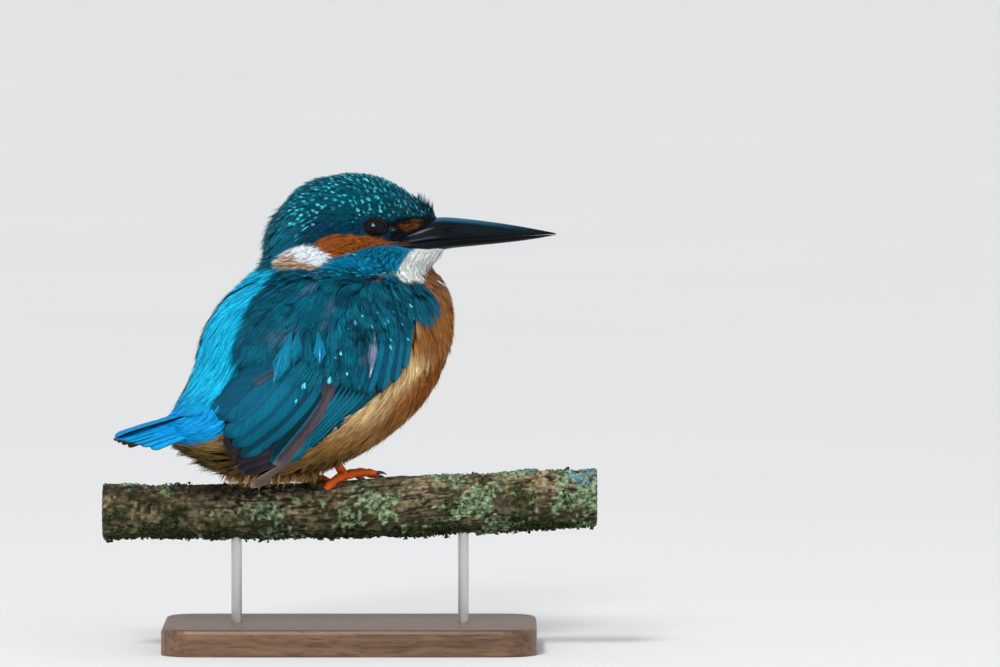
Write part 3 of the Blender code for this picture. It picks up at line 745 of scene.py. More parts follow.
def skin_map(p):
    """Place of a point on an unwrap of the skin: round the body and up it."""
    b = to_body(p)
    middle = np.where(b[..., 2] > 114, -7.0, -8.0)
    angle = np.arctan2(b[..., 1], b[..., 0] - middle) / TURN + 0.5
    height = (b[..., 2] - MAP_FLOOR) / MAP_TALL
    return MAP_EDGE + 0.96 * np.stack([angle, np.clip(height, 0, 1)], -1)


class Tufts:
    """Collects the points, faces, colours and map places of one piece of coat."""

    def __init__(self):
        self.forms, self.tints, self.maps = [], [], []

    def put(self, points, tris, tints, maps):
        self.forms.append((points, tris))
        self.tints.append(tints)
        self.maps.append(maps)

    def build(self, name, material, slot):
        tints, uv = np.vstack(self.tints), np.vstack(self.maps)
        make_piece(name, *joined(self.forms), material, slot, tints=tints, uv=uv)


# A barb is a ribbon with two points on each row but the last, which has one.
BARB = ((0, 2, 3), (0, 3, 1), (2, 4, 5), (2, 5, 3), (4, 6, 5))
STATIONS = np.array((0.0, 0.42, 0.76, 1.0))


def brush(tufts, lines, wide, strands, fine, depth, lift=0.0, ragged=0.12, tint=None, vary=0.16,
          root_dark=0.45, start=0.3, tip_light=1.0, splay=0.0, camber=0.12):
    """Adds to each line a tuft of fine tapering barbs that rise from the skin to the coat's surface.

    The barbs' colour is painted from their place, unless tint is a function of it or holds each line's tone.
    """
    path, normals, sides = lines
    count = len(path)
    shape = (count, strands)
    wide = np.broadcast_to(wide, (count,))[:, None]
    depth = np.broadcast_to(depth, (count,))[:, None, None]
    lift = np.broadcast_to(lift, (count,))[:, None, None]
    across = np.linspace(-1, 1, strands)[None] + rng.normal(0, 0.55 / strands, shape)
    t0 = start * rng.random(shape) * (0.3 + 0.7 * np.abs(across))
    t1 = np.clip(1.02 - 0.2 * across**2 - ragged * rng.random(shape), 0.35, 1.0)
    t = t0[..., None] + (t1 - t0)[..., None] * STATIONS
    c, n, b = along(path, t), unit(along(normals, t)), unit(along(sides, t))
    spread = 0.2 + 0.8 * ramp(t, 0, 0.65) - splay * ramp(t, 0.6, 1.0)
    stray = rng.normal(0, 0.16, shape)[..., None] * STATIONS**2 * wide[..., None]
    offset = across[..., None] * wide[..., None] * spread + stray
    own = rng.normal(0, 0.13, shape)[..., None]
    height = -depth * (1 - t) ** 1.35 + lift * t**2.2 + own * STATIONS - camber * (across**2)[..., None]
    height = height + (rng.random(shape)[..., None] ** 4) * 0.45 * STATIONS**2
    middle = c + b * offset[..., None] + n * height[..., None]
    roll = rng.normal(0, 0.45, shape)[..., None, None]
    flat = b * np.cos(roll) + n * np.sin(roll)
    half = fine / 2 * rng.uniform(0.7, 1.25, shape)[..., None] * np.array((0.8, 1.0, 0.72, 0.0))
    left, right = middle - flat * half[..., None], middle + flat * half[..., None]
    rows = [row[..., k, :] for k in range(3) for row in (left, right)]
    points = np.stack(rows + [middle[..., 3, :]], 2)
    # one tone for each barb, from its own place near its tip
    spots = c[..., 2, :] + b[..., 2, :] * offset[..., 2, None]
    tint = paint if tint is None else tint
    tone = tint(spots) if callable(tint) else np.atleast_2d(tint)[:, None]
    tone = tone * np.exp(rng.normal(0, vary, shape + (1,))) * np.exp(rng.normal(0, vary * 0.6, (count, 1, 1)))
    # each barb darker towards its root, deep in the coat, and less so for pale feathers: partly painted
    # shade, partly the feathers' own darker bases
    deep = mix(root_dark, 1, np.clip(1.3 * tone.mean(-1), 0, 0.8))[..., None]
    shade = 1 - (1 - deep) * np.array((1, 1, 0.25, 0.25, 0, 0, 0))
    shade = shade * np.array((1, 1, 1, 1, 1, 1, tip_light))
    tints = tone[:, :, None, :] * shade[..., None]
    u = np.clip(across, -1, 1)[..., None] * np.ones(7)
    v = np.array((-1, -1, -0.2, -0.2, 0.5, 0.5, 1.0)) * np.ones(shape + (7,))
    maps = skin_map(path[:, 0])[:, None, None, :] + 0.0015 * np.stack([u, v], -1)
    faces = copied(BARB, count * strands, 7)
    tufts.put(points.reshape(-1, 3), faces, tints.reshape(-1, 3), maps.reshape(-1, 2))


def grow(name, material, slot, lines, *sizes, **shape):
    """A piece of coat with a tuft on each line."""
    tufts = Tufts()
    brush(tufts, lines, *sizes, **shape)
    tufts.build(name, material, slot)


# ---- skin --------------------------------------------------------------------------------------------------


SKIN_SHADE = 0.72  # the skin's brightness, as a share of that of the coat over it: painted shade under the coat


def make_skin():
    points, tris = FULL.points - FULL.normals * coat_depth(FULL.points)[:, None], halved(FULL.quads)
    tints, uv = paint(FULL.points) * SKIN_SHADE, skin_map(FULL.points)
    down = coat_finish("skin_down", 0.8)
    nodes = ("head", "neck", "trunk", "wing_right", "wing_left")
    make_piece("skin", points, tris, down, "trunk", *nodes, tints=tints, uv=uv)


make_skin()


# ---- where each kind of tuft grows -------------------------------------------------------------------------


def in_wing(p, shrink=0.0):
    """True over the folded wing on either side."""
    b = to_body(p)
    away = [outside(outline, b[..., 0], b[..., 2]) for outline in (WING_OUTLINE, WING_TIP)]
    return (np.minimum(*away) < -shrink) & (np.abs(b[..., 1]) > 6)


def scapular_edge(f):
    """Lowest height of the long shoulder feathers' roots on the wing."""
    forward = (-44, -35, -30, -22, -11, -8, -2, 6, 14)
    return np.interp(f, forward, (93.5, 94, 94.5, 97, 99.5, 101, 104, 106.5, 108))


# Places on the surface: forward, left and up of the bird's own axes, along X, and off the head's middle.
pool = FULL.pool(90000)
F, L, Z = to_body(pool).T
X, S = pool[:, 0], np.abs(pool[:, 1] - HEAD_Y)
on_head = Z > 112.5 + 5.0 * (noise(pool, 3.0, 61) - 0.5)
eye_gap = np.hypot((X - EYE_X) / 2.95, (Z - EYE_Z + 0.1) / 2.05)
bare = (outside(BARE_BILL, X, Z) < 0.2) | ((eye_gap < 1) & (S > 8)) | ((X > 29.2) & (Z > 115))
wing_here = in_wing(pool, np.interp(F, (-38, -34), (-0.8, -1.6)))
coverts_here = wing_here & (Z < scapular_edge(F))
under_wing = in_wing(pool, 0.3) & (np.abs(L) > 9) & (Z < scapular_edge(F))
dorsal = F - back_line(Z) < 20
face = on_head & (X > 3) & (Z > 117.5)
crown = on_head & (Z > 129 - 0.25 * np.maximum(X - 8, 0)) & (X > -16)
crown |= on_head & (X > 12) & (Z > 129.5)
throat_here = (outside(THROAT, X, Z) < 0.8) & (X > 12)
cheek = on_head & ~crown & (Z < 125.5)
stripe_here = ~on_head & (np.abs(L - FAR) < stripe_half(Z) + FAR + 1) & dorsal & (Z > vent_line(F) - 0.5)
teal_here = ~on_head & ~stripe_here & (F < teal_front(Z) + 1) & (Z > 76) & ((F > -41) | (Z > 90))
vent_here = ~on_head & (F < -24) & (Z < vent_line(F) + np.interp(F, (-50, -46), (-3.0, 3.5)))
front_here = ~on_head & ~teal_here & ~stripe_here & ~vent_here & ~wing_here
nape_here = on_head & ~crown & ~cheek & (X <= 3) | (cheek & (X <= -14))

# name: where, apart, length, half width, barbs, barb width, depth, lift
KINDS = {
    "face": (face & ~crown & ~throat_here, 0.62, 2.2, 0.45, 9, 0.12, 0.8, 0.0),
    "crown": (crown, 0.95, 3.8, 0.75, 14, 0.14, 1.2, 0.1),
    "throat": (throat_here, 0.8, 4.6, 0.8, 18, 0.13, 1.2, 0.2),
    "cheek": (cheek & ~face & ~throat_here & (X > -14), 0.85, 4.4, 0.8, 16, 0.14, 1.2, 0.1),
    "nape": (nape_here, 1.0, 6.0, 0.8, 16, 0.15, 1.3, 0.8),
    "stripe": (stripe_here & (Z > 84) & ~under_wing, 1.5, 14.0, 1.5, 24, 0.17, 2.2, 0.15),
    "rump": (stripe_here & (Z <= 84) & ~under_wing, 1.5, 13.0, 1.6, 24, 0.17, 2.4, 0.4),
    "mantle": (teal_here & ~coverts_here, 1.3, 11.0, 1.6, 26, 0.16, 2.0, 0.6),
    "breast": (front_here & ~throat_here & (Z > 88), 1.4, 9.0, 1.5, 24, 0.16, 2.1, 0.2),
    "belly": (front_here & (Z <= 88), 1.5, 10.5, 1.7, 24, 0.17, 2.3, 0.35),
    "vent": (vent_here & ~wing_here, 1.4, 10.0, 1.6, 18, 0.2, 2.6, 1.0),
}
HEAD_KINDS = ("face", "crown", "cheek", "nape", "throat")
MOTTLED_KINDS = ("stripe", "rump", "nape", "mantle")
ROOT_DARK = {"throat": 0.85, "breast": 0.75, "belly": 0.75, "vent": 0.75}
COAT = coat_finish("coat_barbs", 0.45, 0.0, 0.22, (0.25, 0.8, 1.0))
SOFT = coat_finish("coat_down", 0.65, 0.04, 0.08)
SHINE = coat_finish("coat_glossy", 0.38, 0.0, 0.3, (0.2, 0.75, 1.0))
KIND_FINISH = {"stripe": SHINE, "rump": SHINE, "throat": SOFT, "breast": SOFT, "belly": SOFT, "vent": SOFT}


def stopped_at_wing(lines, roots):
    """Tufts from ahead of the wing end at its edge, and those that hang below the belly are half as long."""
    path = lines[0]
    inside = in_wing(path, 0.2)
    steps = inside.shape[1] - 1
    reach = np.where(inside.any(1), inside.argmax(1), steps) / steps
    lowest = np.interp(roots[:, 0], (-16, -12, -6, 0), (49, 53, 56.3, 57))
    reach = reach * np.where(path[:, -1, 2] < lowest, 0.5, 1)
    return cut(lines, np.linspace(0, 1, steps + 1)[None] * np.clip(reach, 0.3, 1)[:, None])


taken = bare.copy()
for kind, (where, apart, length, wide, strands, fine, depth, lift) in KINDS.items():
    where = where & ~(bare if kind == "vent" else taken)
    taken |= where
    roots = thinned(pool[where], apart)
    lines = combed(roots, varied(length, len(roots)), jitter=0.12, curl=0.12)
    if kind in ("belly", "breast"):
        lines = stopped_at_wing(lines, roots)
    shape = dict(root_dark=ROOT_DARK.get(kind, 0.45), vary=0.2 if kind in MOTTLED_KINDS else 0.13)
    finish, slot = KIND_FINISH.get(kind, COAT), "head" if kind in HEAD_KINDS else "trunk"
    grow("coat_" + kind, finish, slot, lines, wide, strands, fine, depth, lift, **shape)


# ---- wings -------------------------------------------------------------------------------------------------


def blurred(grid, passes):
    """The grid with each place averaged with its neighbours, along it and across it."""
    for _ in range(passes):
        for axis, count in enumerate(grid.shape):
            p = np.pad(grid, [(1, 1) if k == axis else (0, 0) for k in (0, 1)], mode="edge")
            before, after = p.take(np.arange(count), axis), p.take(np.arange(count) + 2, axis)
            grid = 0.25 * before + 0.5 * grid + 0.25 * after
    return grid


class WingFace:
    """How far out the side of the bird lies, over (forward, up), with its folded wing."""

    # The grid's lowest corner, step and size, and how far out its rays start.
    LOW, STEP, SHAPE, START = np.array((-54.0, 44.0)), 0.5, (150, 152), 60.0

    def __init__(self, name, side):
        self.side = side
        forms = [(FULL.points, halved(FULL.quads)), cad_form(f"wing_{name}"), cad_form(f"flight_{name}")]
        points, tris = joined(forms)
        tree = BVHTree.FromPolygons(points.tolist(), tris.tolist())
        f, z = (self.LOW[k] + self.STEP * np.arange(self.SHAPE[k]) for k in (0, 1))
        spots = np.stack(np.broadcast_arrays(f[:, None], side * self.START, z[None]), -1).reshape(-1, 3)
        heading = Vector(turn_to_world(np.array((0.0, -side, 0.0))))
        out = []
        for p in to_world(spots).tolist():
            hit = tree.ray_cast(Vector(p), heading, self.START)[0]
            out.append(np.nan if hit is None else self.START - (Vector(p) - hit).length)
        self.grid = blurred(self.filled(np.array(out).reshape(self.SHAPE)), 5)

    def filled(self, grid):
        """The grid with its unknown places sloping away from the known ones."""
        while np.isnan(grid).any():
            p = np.pad(grid, 1, mode="edge")
            near = np.stack([p[:-2, 1:-1], p[2:, 1:-1], p[1:-1, :-2], p[1:-1, 2:]])
            known = ~np.isnan(near)
            fill = np.where(known, near, 0).sum(0) / np.maximum(known.sum(0), 1) - 0.25
            grid = np.where(np.isnan(grid) & known.any(0), fill, grid)
        return grid

    def out(self, f, z):
        """How far out the side lies at each place."""
        q = (np.stack([f, z], -1) - self.LOW) / self.STEP
        q = np.clip(q, 0.001, np.array(self.SHAPE) - 1.001)
        i = q.astype(int)
        t = q - i
        g, j, k = self.grid, i[..., 0], i[..., 1]
        low, high = mix(g[j, k], g[j + 1, k], t[..., 0]), mix(g[j, k + 1], g[j + 1, k + 1], t[..., 0])
        return mix(low, high, t[..., 1])

    def spot(self, f, z, height):
        """World points this high over the wing's face, and the outward normals."""
        if self.side > 0:
            z = z + 4.0 * np.clip((80 - z) / 31.6, 0, 1) ** 2
        df = np.clip((self.out(f + 0.8, z) - self.out(f - 0.8, z)) / 1.6, -1.6, 1.6)
        dz = np.clip((self.out(f, z + 0.8) - self.out(f, z - 0.8)) / 1.6, -1.6, 1.6)
        n = unit(np.stack([-df, np.full_like(df, self.side), -dz], -1))
        p = np.stack([f, self.side * self.out(f, z), z], -1) + n * np.asarray(height)[..., None]
        return to_world(p), turn_to_world(n)


ACROSS = np.array((-1.0, -0.8, -0.55, -0.28, -0.04, 0.04, 0.28, 0.55, 0.8, 1.0))  # places across a feather


class Vanes:
    """Collects feathers with a shaft and two webs, each with its own patch of the map."""

    def __init__(self, cells):
        self.forms, self.tints, self.webs, self.maps = [], [], [], []
        self.number, self.cells = 0, cells

    def put(self, points, under, tints, low_tints, reach, v, length, apart):
        """One sheet from root to tip, or two, a face and an underside, if the underside is given."""
        cell = np.array((self.number % self.cells, self.number // self.cells))
        run = (v * length)[:, None] + apart * self.number
        webs = np.stack(np.broadcast_arrays(reach, run, v[:, None]), -1)
        uv = np.stack(np.broadcast_arrays((ACROSS / 2 + 0.5)[None], v[:, None]), -1)
        self.number += 1
        faces = grid_faces(len(v), len(ACROSS))
        sheets = [(points, faces, tints)] + ([] if under is None else [(under, faces[:, ::-1], low_tints)])
        for k, (sheet, turned, tone) in enumerate(sheets):
            self.forms.append((sheet.reshape(-1, 3), turned))
            self.tints.append(tone.reshape(-1, 3))
            self.webs.append(webs.reshape(-1, 3))
            span = np.array((0.94 if under is None else 0.46, 0.94))
            corner = np.array((0.03 + 0.48 * k, 0.03))
            self.maps.append(((cell + corner + uv * span) / self.cells).reshape(-1, 2))

    def build(self, name, slot, *nodes):
        tints, uv = np.vstack(self.tints), np.vstack(self.maps)
        obj = make_piece(name, *joined(self.forms), VANE, slot, *nodes, tints=tints, uv=uv)
        give_webs(obj, np.vstack(self.webs))


def vane_outline(v, blunt, root=0.55):
    """Half width along a feather, from 0 at its root to 1 at its tip, as a share of the widest."""
    wide = root + (1 - root) * ramp(v, 0, 0.35)
    tip = np.clip((v - blunt) / (1 - blunt), 0, 1)
    return wide * np.sqrt(np.clip(1 - tip**2.2, 0.0, 1)) + 0.012


def down_shaft(blunt, straight):
    """Shares of the length at which a feather has a row of points, closer together round its tip."""
    round_tip = np.sin(np.linspace(0, 1, 10)[1:] * math.pi / 2)
    return np.concatenate([np.linspace(0, blunt, straight), blunt + (1 - blunt) * round_tip])


def parted(reach, v, times, place, deep, short):
    """Small partings of the web's edge, each a short step along the barbs."""
    for _ in range(times):
        at, sign, cut_in = rng.uniform(*place), rng.choice((-1, 1)), rng.uniform(*deep)
        notch = np.exp(-(((v - at) / short) ** 2)) * cut_in
        reach = reach * np.where(ACROSS * sign > 0.5, 1 - notch[:, None], 1)
    return reach


def rimmed(tone, rim, v, start, end, share):
    """The colours with a rim along the webs' edges and round the tip."""
    border = np.maximum(ramp(np.abs(ACROSS), start, end)[None], ramp(v, 0.93, 0.985)[:, None])
    return over(tone, rim, share * border)


def wing_vane(vanes, face, root, tip, wide, layer, outer, inner, rim, bow, lead=0.42, blunt=0.78, backed=True,
              rows=28, tip_dark=0.0):
    """A feather laid on the wing's face.  Its leading web is on the side of the wing's front edge."""
    root, tip = np.array(root, float), np.array(tip, float)
    length = np.linalg.norm(tip - root)
    heading = (tip - root) / length
    ahead = np.array((-heading[1], heading[0]))
    v = down_shaft(blunt, rows - 9)
    bend = 4 * v * (1 - v) * bow
    centre = root + np.outer(v, tip - root) + np.outer(bend, ahead)
    half = wide * vane_outline(v, blunt)
    reach = ACROSS * np.where(ACROSS > 0, 2 * lead, 2 * (1 - lead)) * half[:, None]
    reach = parted(reach, v, 2, (0.35, 0.93), (0.06, 0.2), 0.016)
    # barbs slant towards the tip, so the web's outer parts lie a little further on than the shaft
    f, z = (
        centre[:, None, k] + reach * ahead[k] + heading[k] * 0.12 * np.abs(reach) * (1 - v[:, None])
        for k in (0, 1)
    )
    height = layer - 0.35 * ACROSS**2 * (half[:, None] / 3.0) - 0.5 * (1 - ramp(v, 0, 0.3))[:, None]
    height = height + 0.06 * np.sin(v * 9)[:, None]
    height = height + 0.1 * (noise(np.stack([f, z, f * 0 + layer * 9], -1), 2.5, 5) - 0.5)
    p, n = face.spot(f, z, height)
    tone = np.where((ACROSS > 0)[None, :, None], outer, inner) * np.ones((len(v), len(ACROSS), 3))
    # where the rim is darker than the web, it is painted shade along the edges where one feather lies over
    # the next
    tone = rimmed(tone, rim, v, 0.78, 0.95, 0.75)
    tone = tone * (1 - tip_dark * ramp(v, 0.5, 0.95))[:, None, None]
    # each feather darker towards its root, under the feathers above it: partly painted shade, partly the
    # hidden base's own duller colour
    tone = tone * mix(0.55, 1, ramp(v, 0.0, 0.45))[:, None, None]
    tone = tone * math.exp(rng.normal(0, 0.07))
    vanes.put(p, p - n * 0.16 if backed else None, tone, tone * 0.55, reach, v, length, 17.3)


def vane_finish():
    """Firm webs: barbs slant from the shaft to the edge, and the shaft is a raised dark line."""
    gloss = dict(Specular_IOR_Level=0.12, Specular_Tint=(0.3, 0.8, 1.0, 1.0))
    f = Finish("vane_glossy", Sheen_Roughness=0.35, **gloss)
    tint = f.attribute("tint")
    parts = f.add("SeparateXYZ", {0: f.attribute("web", "Vector")})
    out = f.math("ABSOLUTE", parts.outputs[0])
    phase = f.math("SUBTRACT", parts.outputs[1], f.times(out, 1.5))
    streak = f.noise(1.0, 3.0, 0.6, f.vector(f.times(phase, 3.2), f.times(out, 0.22), 0.0))
    broad = f.noise(1.0, 2.0, 0.5, f.vector(f.times(phase, 0.55), f.times(out, 0.1), 3.0))
    barb = f.math("SINE", f.times(phase, TURN / 0.34))
    lit = f.blend(f.span(streak, 0.3, 0.72), 0.8, 1.18)
    lit = f.dyed(lit, f.span(broad, 0.3, 0.7), (0.86, 0.88, 0.9), (1.12, 1.1, 1.08))
    lit = f.dyed(lit, f.span(barb, -1.0, 1.0), 0.93, 1.05)
    shaft = f.span(out, 0.07, 0.17, 1.0, 0.0)
    webbed = f.blend(1.0, tint, lit, "MULTIPLY")
    colour = f.blend(f.times(shaft, 0.4), webbed, (0.008, 0.010, 0.013))
    rough = f.span(streak, 0.25, 0.75, 0.34, 0.52)
    height = f.plus(f.times(streak, 0.8), f.times(barb, 0.25))
    return f.done(colour, rough, f.plus(height, f.times(shaft, 1.2)), 0.55, 0.00009)


VANE = vane_finish()
TERTIAL, COVERT, COVERT_DIM = srgb(8, 90, 114), srgb(8, 106, 130), srgb(6, 70, 90)
PRIMARY, PRIMARY_SHADOW = srgb(12, 112, 138), srgb(6, 42, 54)
BROWN, BROWN_EDGE = srgb(76, 68, 68), srgb(124, 112, 100)
TURQUOISE, LILAC = srgb(110, 216, 232), srgb(134, 146, 172)


def wing_lines(face, roots, tips, height):
    """Lines on the wing's face from roots to tips, each an array of (forward, up)."""
    t = np.linspace(0, 1, 6)[None, :, None]
    path = roots[:, None] * (1 - t) + tips[:, None] * t
    p, n = face.spot(path[..., 0], path[..., 1], np.broadcast_to(height, (len(roots),))[:, None] * np.ones(6))
    return p, n, unit(np.cross(n, np.gradient(p, axis=1)))


def plume(tufts, face, root, tip, wide, strands, height, tone, fine=0.16, **shape):
    """A single soft feather of barbs on the wing's face."""
    lines = wing_lines(face, np.array([root], float), np.array([tip], float), height)
    brush(tufts, lines, wide, strands, fine, 0.8, tint=tone, **shape)


def covert_tone(at):
    """Mottled teal, with painted shade in the gap between two groups of feathers."""
    b = to_body(at)
    f, z = b[..., 0], b[..., 2]
    tone = over(COVERT_DIM, COVERT, ramp(fractal(at, 2.6, 63, 2), 0.3, 0.7))
    tone = tone * (0.75 + 0.5 * fractal(at, 1.1, 65, 2))[..., None]
    gap = np.exp(-(((f + 6.6) / 2.6) ** 4) - (((z - 93.2 - 0.5 * (f + 6.6)) / 2.0) ** 4))
    return tone * (1 - 0.85 * gap)[..., None]


# Bands of small feathers: lowest and highest root, apart, length, half width, barbs, height, lift.
COVERT_BANDS = (
    (83.0, 97.0, 2.3, 8.6, 1.9, 30, 0.75, 0.15),
    (91.0, 110.0, 1.5, 5.6, 1.15, 20, 1.15, 0.35),
)
# Broad soft feathers over the roots of the flight feathers: root, tip, half width.
BROAD_COVERTS = (
    ((-17.0, 92.0), (-24.6, 78.6), 3.7), ((-11.5, 92.0), (-17.2, 80.2), 3.5),
    ((-7.5, 91.0), (-12.0, 79.4), 2.6), ((-5.0, 90.5), (-8.2, 78.6), 2.2),
    ((-20.5, 91.0), (-28.2, 79.8), 2.4),
)
# Bright drops at some of their tips: forward, up, size.
DROPS = (
    (-24.3, 80.4, 1.0), (-16.9, 82.0, 1.05), (-26.6, 76.2, 0.55), (-13.0, 89.9, 0.7), (-14.6, 88.8, 0.5),
    (4.0, 93.6, 0.6), (3.8, 91.2, 0.75), (3.7, 99.2, 0.9), (2.4, 98.4, 0.5), (-7.3, 98.7, 0.8),
    (-2.1, 97.6, 0.75), (13.0, 103.0, 0.7), (13.2, 99.6, 0.5), (10.2, 93.6, 0.55), (-4.6, 100.6, 0.45),
    (6.2, 101.6, 0.4), (0.4, 101.4, 0.4), (-9.8, 97.2, 0.4), (8.6, 98.0, 0.4), (-11.4, 84.0, 0.5),
)
BUSHY = dict(splay=0.8, ragged=0.2, root_dark=0.4)
# Loose pointed feathers over the wing: root, tip, half width, barbs, height, colour, shape.
LOOSE = (
    ((-25.4, 96.5), (-31.3, 81.0), 2.3, 60, 1.7, srgb(14, 132, 168),
     dict(splay=0.75, ragged=0.12, vary=0.1, root_dark=0.4, camber=0.3)),
    ((-27.4, 93.0), (-32.0, 80.6), 0.35, 8, 1.75, srgb(150, 200, 214),
     dict(fine=0.13, splay=0.6, root_dark=0.3)),
    ((-18.6, 96.4), (-19.5, 86.4), 1.8, 50, 1.8, srgb(12, 128, 170),
     dict(splay=0.85, ragged=0.1, vary=0.1, root_dark=0.4)),
    ((-19.0, 92.0), (-19.5, 87.4), 0.16, 4, 2.0, srgb(190, 226, 232),
     dict(fine=0.13, splay=0.3, root_dark=0.6)),
    ((-23.6, 97.0), (-26.4, 86.2), 1.9, 50, 1.5, srgb(10, 104, 132), BUSHY),
    ((-14.4, 98.6), (-15.8, 88.4), 1.9, 50, 1.55, srgb(8, 94, 120), BUSHY),
    ((-21.4, 96.5), (-23.2, 85.8), 1.6, 44, 1.45, srgb(8, 90, 116), BUSHY),
    ((-10.8, 99.0), (-12.2, 89.4), 1.7, 44, 1.5, srgb(8, 88, 110), BUSHY),
    ((-0.6, 98.0), (-3.9, 83.8), 1.55, 46, 1.35, LILAC,
     dict(splay=0.45, ragged=0.18, vary=0.1, root_dark=0.55, camber=0.3)),
    ((-3.4, 94.0), (-6.6, 84.6), 0.9, 22, 1.2, srgb(84, 84, 106), dict(splay=0.4, ragged=0.2)),
    ((-1.6, 90.0), (-4.6, 81.8), 0.3, 9, 1.45, srgb(196, 204, 220), dict(fine=0.12, splay=0.6)),
)


def covert_band(tufts, face, low, high, apart, length, wide, strands, height, lift):
    f, z = rng.uniform(-22, 15, 3000), rng.uniform(low, high, 3000)
    keep = (f < wing_front(z - length * 0.6) - 0.9) & (z < scapular_edge(f) + 3.5)
    keep &= (f > np.interp(z, (83, 91, 97, 110), (-4, -21, -14, -6)))
    # the smooth feathers behind the wing's edge stay in sight
    keep &= ~((f > -1.5) & (z < 97.5))
    roots = thinned(np.column_stack([f[keep], z[keep], 0 * f[keep]]), apart)[:, :2]
    lean = np.interp(roots[:, 0], (-22, -10, 4, 14), (24, 14, 4, -4))
    lean = np.radians(lean + rng.normal(0, 7, len(roots)))
    size = varied(length, len(roots))
    tips = roots - np.column_stack([np.sin(lean), np.cos(lean)]) * size[:, None]
    own = height + rng.normal(0, 0.08, len(roots)) + 0.02 * (roots[:, 1] - 95)
    lines = wing_lines(face, roots, tips, own)
    brush(tufts, lines, wide, strands, 0.16, 0.9, lift, tint=covert_tone, root_dark=0.35, ragged=0.2)


def covert_tufts(name, face):
    """The soft small feathers over the bend of the wing and down to the flight feathers."""
    soft, drops, loose = Tufts(), Tufts(), Tufts()
    for band in COVERT_BANDS:
        covert_band(soft, face, *band)
    for root, tip, wide in BROAD_COVERTS:
        tone = mix(COVERT, TERTIAL, rng.random() * 0.5) * 1.02
        plume(soft, face, root, tip, wide, 64, 0.62, tone, ragged=0.07, vary=0.1, root_dark=0.35, camber=0.25)
    soft.build(f"coverts_soft_{name}", COAT, "wing")
    for f, z, big in DROPS:
        lean = math.radians(np.interp(f, (-26, 4, 14), (30, 4, -4)))
        root = (f + 1.5 * big * math.sin(lean), z + 1.5 * big * math.cos(lean))
        tip = (f - 1.1 * big * math.sin(lean), z - 1.1 * big * math.cos(lean))
        plume(drops, face, root, tip, 0.62 * big, 14, 1.45, TURQUOISE, fine=0.15, ragged=0.2, vary=0.12,
              root_dark=0.75, start=0.2, splay=0.5)
    drops.build(f"spots_wing_{name}", SHINE, "wing")
    for root, tip, wide, strands, height, tone, shape in LOOSE:
        plume(loose, face, root, tip, wide, strands, height, tone, **shape)
    loose.build(f"plumes_wing_{name}", COAT, "wing")


# Dark tips beyond the brown feathers: root, tip.
DARK_TIPS = (((-22.0, 60.6), (-36.2, 53.6)), ((-23.0, 62.4), (-38.2, 55.2)), ((-24.0, 64.4), (-39.6, 58.0)))
# Inner feathers, from the lowest: root, tip, half width, bow, leading web, other web, rim, lead, blunt.
INNER_FEATHERS = (
    ((-13.5, 87.5), (-28.4, 56.6), 2.9, 0.9, srgb(84, 74, 80), srgb(66, 56, 62), srgb(116, 104, 104),
     0.5, 0.88),
    ((-16.5, 87.0), (-37.7, 59.4), 2.9, 0.8, srgb(10, 98, 124), srgb(8, 62, 78), srgb(6, 60, 80), 0.5, 0.84),
    ((-19.5, 89.0), (-41.2, 62.8), 2.9, 0.7, TERTIAL, srgb(8, 70, 92), srgb(6, 50, 66), 0.6, 0.86),
    ((-22.5, 91.0), (-44.0, 66.0), 2.9, 0.6, TERTIAL, srgb(8, 76, 100), srgb(6, 52, 70), 0.62, 0.88),
    ((-26.5, 93.0), (-44.8, 71.0), 3.9, 0.5, srgb(8, 80, 106), srgb(8, 68, 92), srgb(6, 50, 70), 0.5, 0.86),
)
# Long smooth feathers behind the leading edge: root, tip, half width.
SMOOTH_COVERTS = (
    ((11.4, 100.0), (8.8, 85.0), 2.0), ((8.6, 99.5), (5.0, 81.0), 2.3), ((5.2, 99.0), (0.6, 78.8), 2.6),
    ((1.4, 97.5), (-4.6, 78.0), 2.4), ((-2.6, 95.0), (-8.2, 78.9), 1.8),
)


def outer_feathers(flight, face):
    """The primaries: the outermost lie lowest, and only their leading webs show."""
    wing_vane(flight, face, (-13.5, 62.6), (-30.2, 51.0), 1.8, -1.12, BROWN, BROWN, BROWN_EDGE, 0.3)
    wing_vane(flight, face, (-15.0, 62.4), (-32.6, 49.4), 2.1, -1.0, srgb(106, 94, 80), srgb(96, 86, 74),
              srgb(150, 138, 118), 0.5, blunt=0.7)
    for k, (root, tip) in enumerate(DARK_TIPS):
        wing_vane(flight, face, root, tip, 1.75, -0.96 + 0.09 * k, srgb(58, 46, 58), srgb(44, 36, 44),
                  srgb(112, 88, 98), 0.3, blunt=0.7, tip_dark=0.5)
    for k in range(9):
        share = k / 8
        root = mix(np.array((4.6, 84.5)), np.array((-13.5, 84.5)), share)
        tip = mix(np.array((-20.5, 57.6)), np.array((-29.6, 57.4)), share**0.8)
        # painted shadow: the leading primary darkened along the wing's front edge, and each primary's rim
        # dark
        tone, rim = mix(PRIMARY, PRIMARY_SHADOW, 0.6 * (k == 0)), mix(PRIMARY, srgb(4, 26, 36), 0.6)
        wing_vane(flight, face, root, tip, 2.6, -0.78 + 0.06 * k, tone, srgb(10, 42, 54), rim,
                  -1.3 + 0.5 * share, lead=0.45, blunt=0.72)


def flight_bed(name, side):
    """A thin dark bed under the flight feathers, out of the blade's own form."""
    points, quads = remeshed([cad_form(f"flight_{name}")], 0.6)
    points = smoothed(points, quads, SETTLE * 3)
    normals = vertex_normals(points, quads)
    outward = turn_to_world(np.array((0.0, side, 0.0)))
    points = points - normals * (0.15 + 1.25 * np.clip((normals @ outward), 0, 1))[:, None]
    tris = halved(quads[to_body(points)[quads[:, 0], 2] > 60.5])
    streaks = fractal(to_body(points) * np.array((1, 0.2, 0.35)), 1.2, 17)
    tints = over(srgb(20, 22, 26), srgb(58, 54, 54), streaks)
    make_piece(f"flight_bed_{name}", points, tris, SOFT, "wing", tints=tints, uv=skin_map(points))


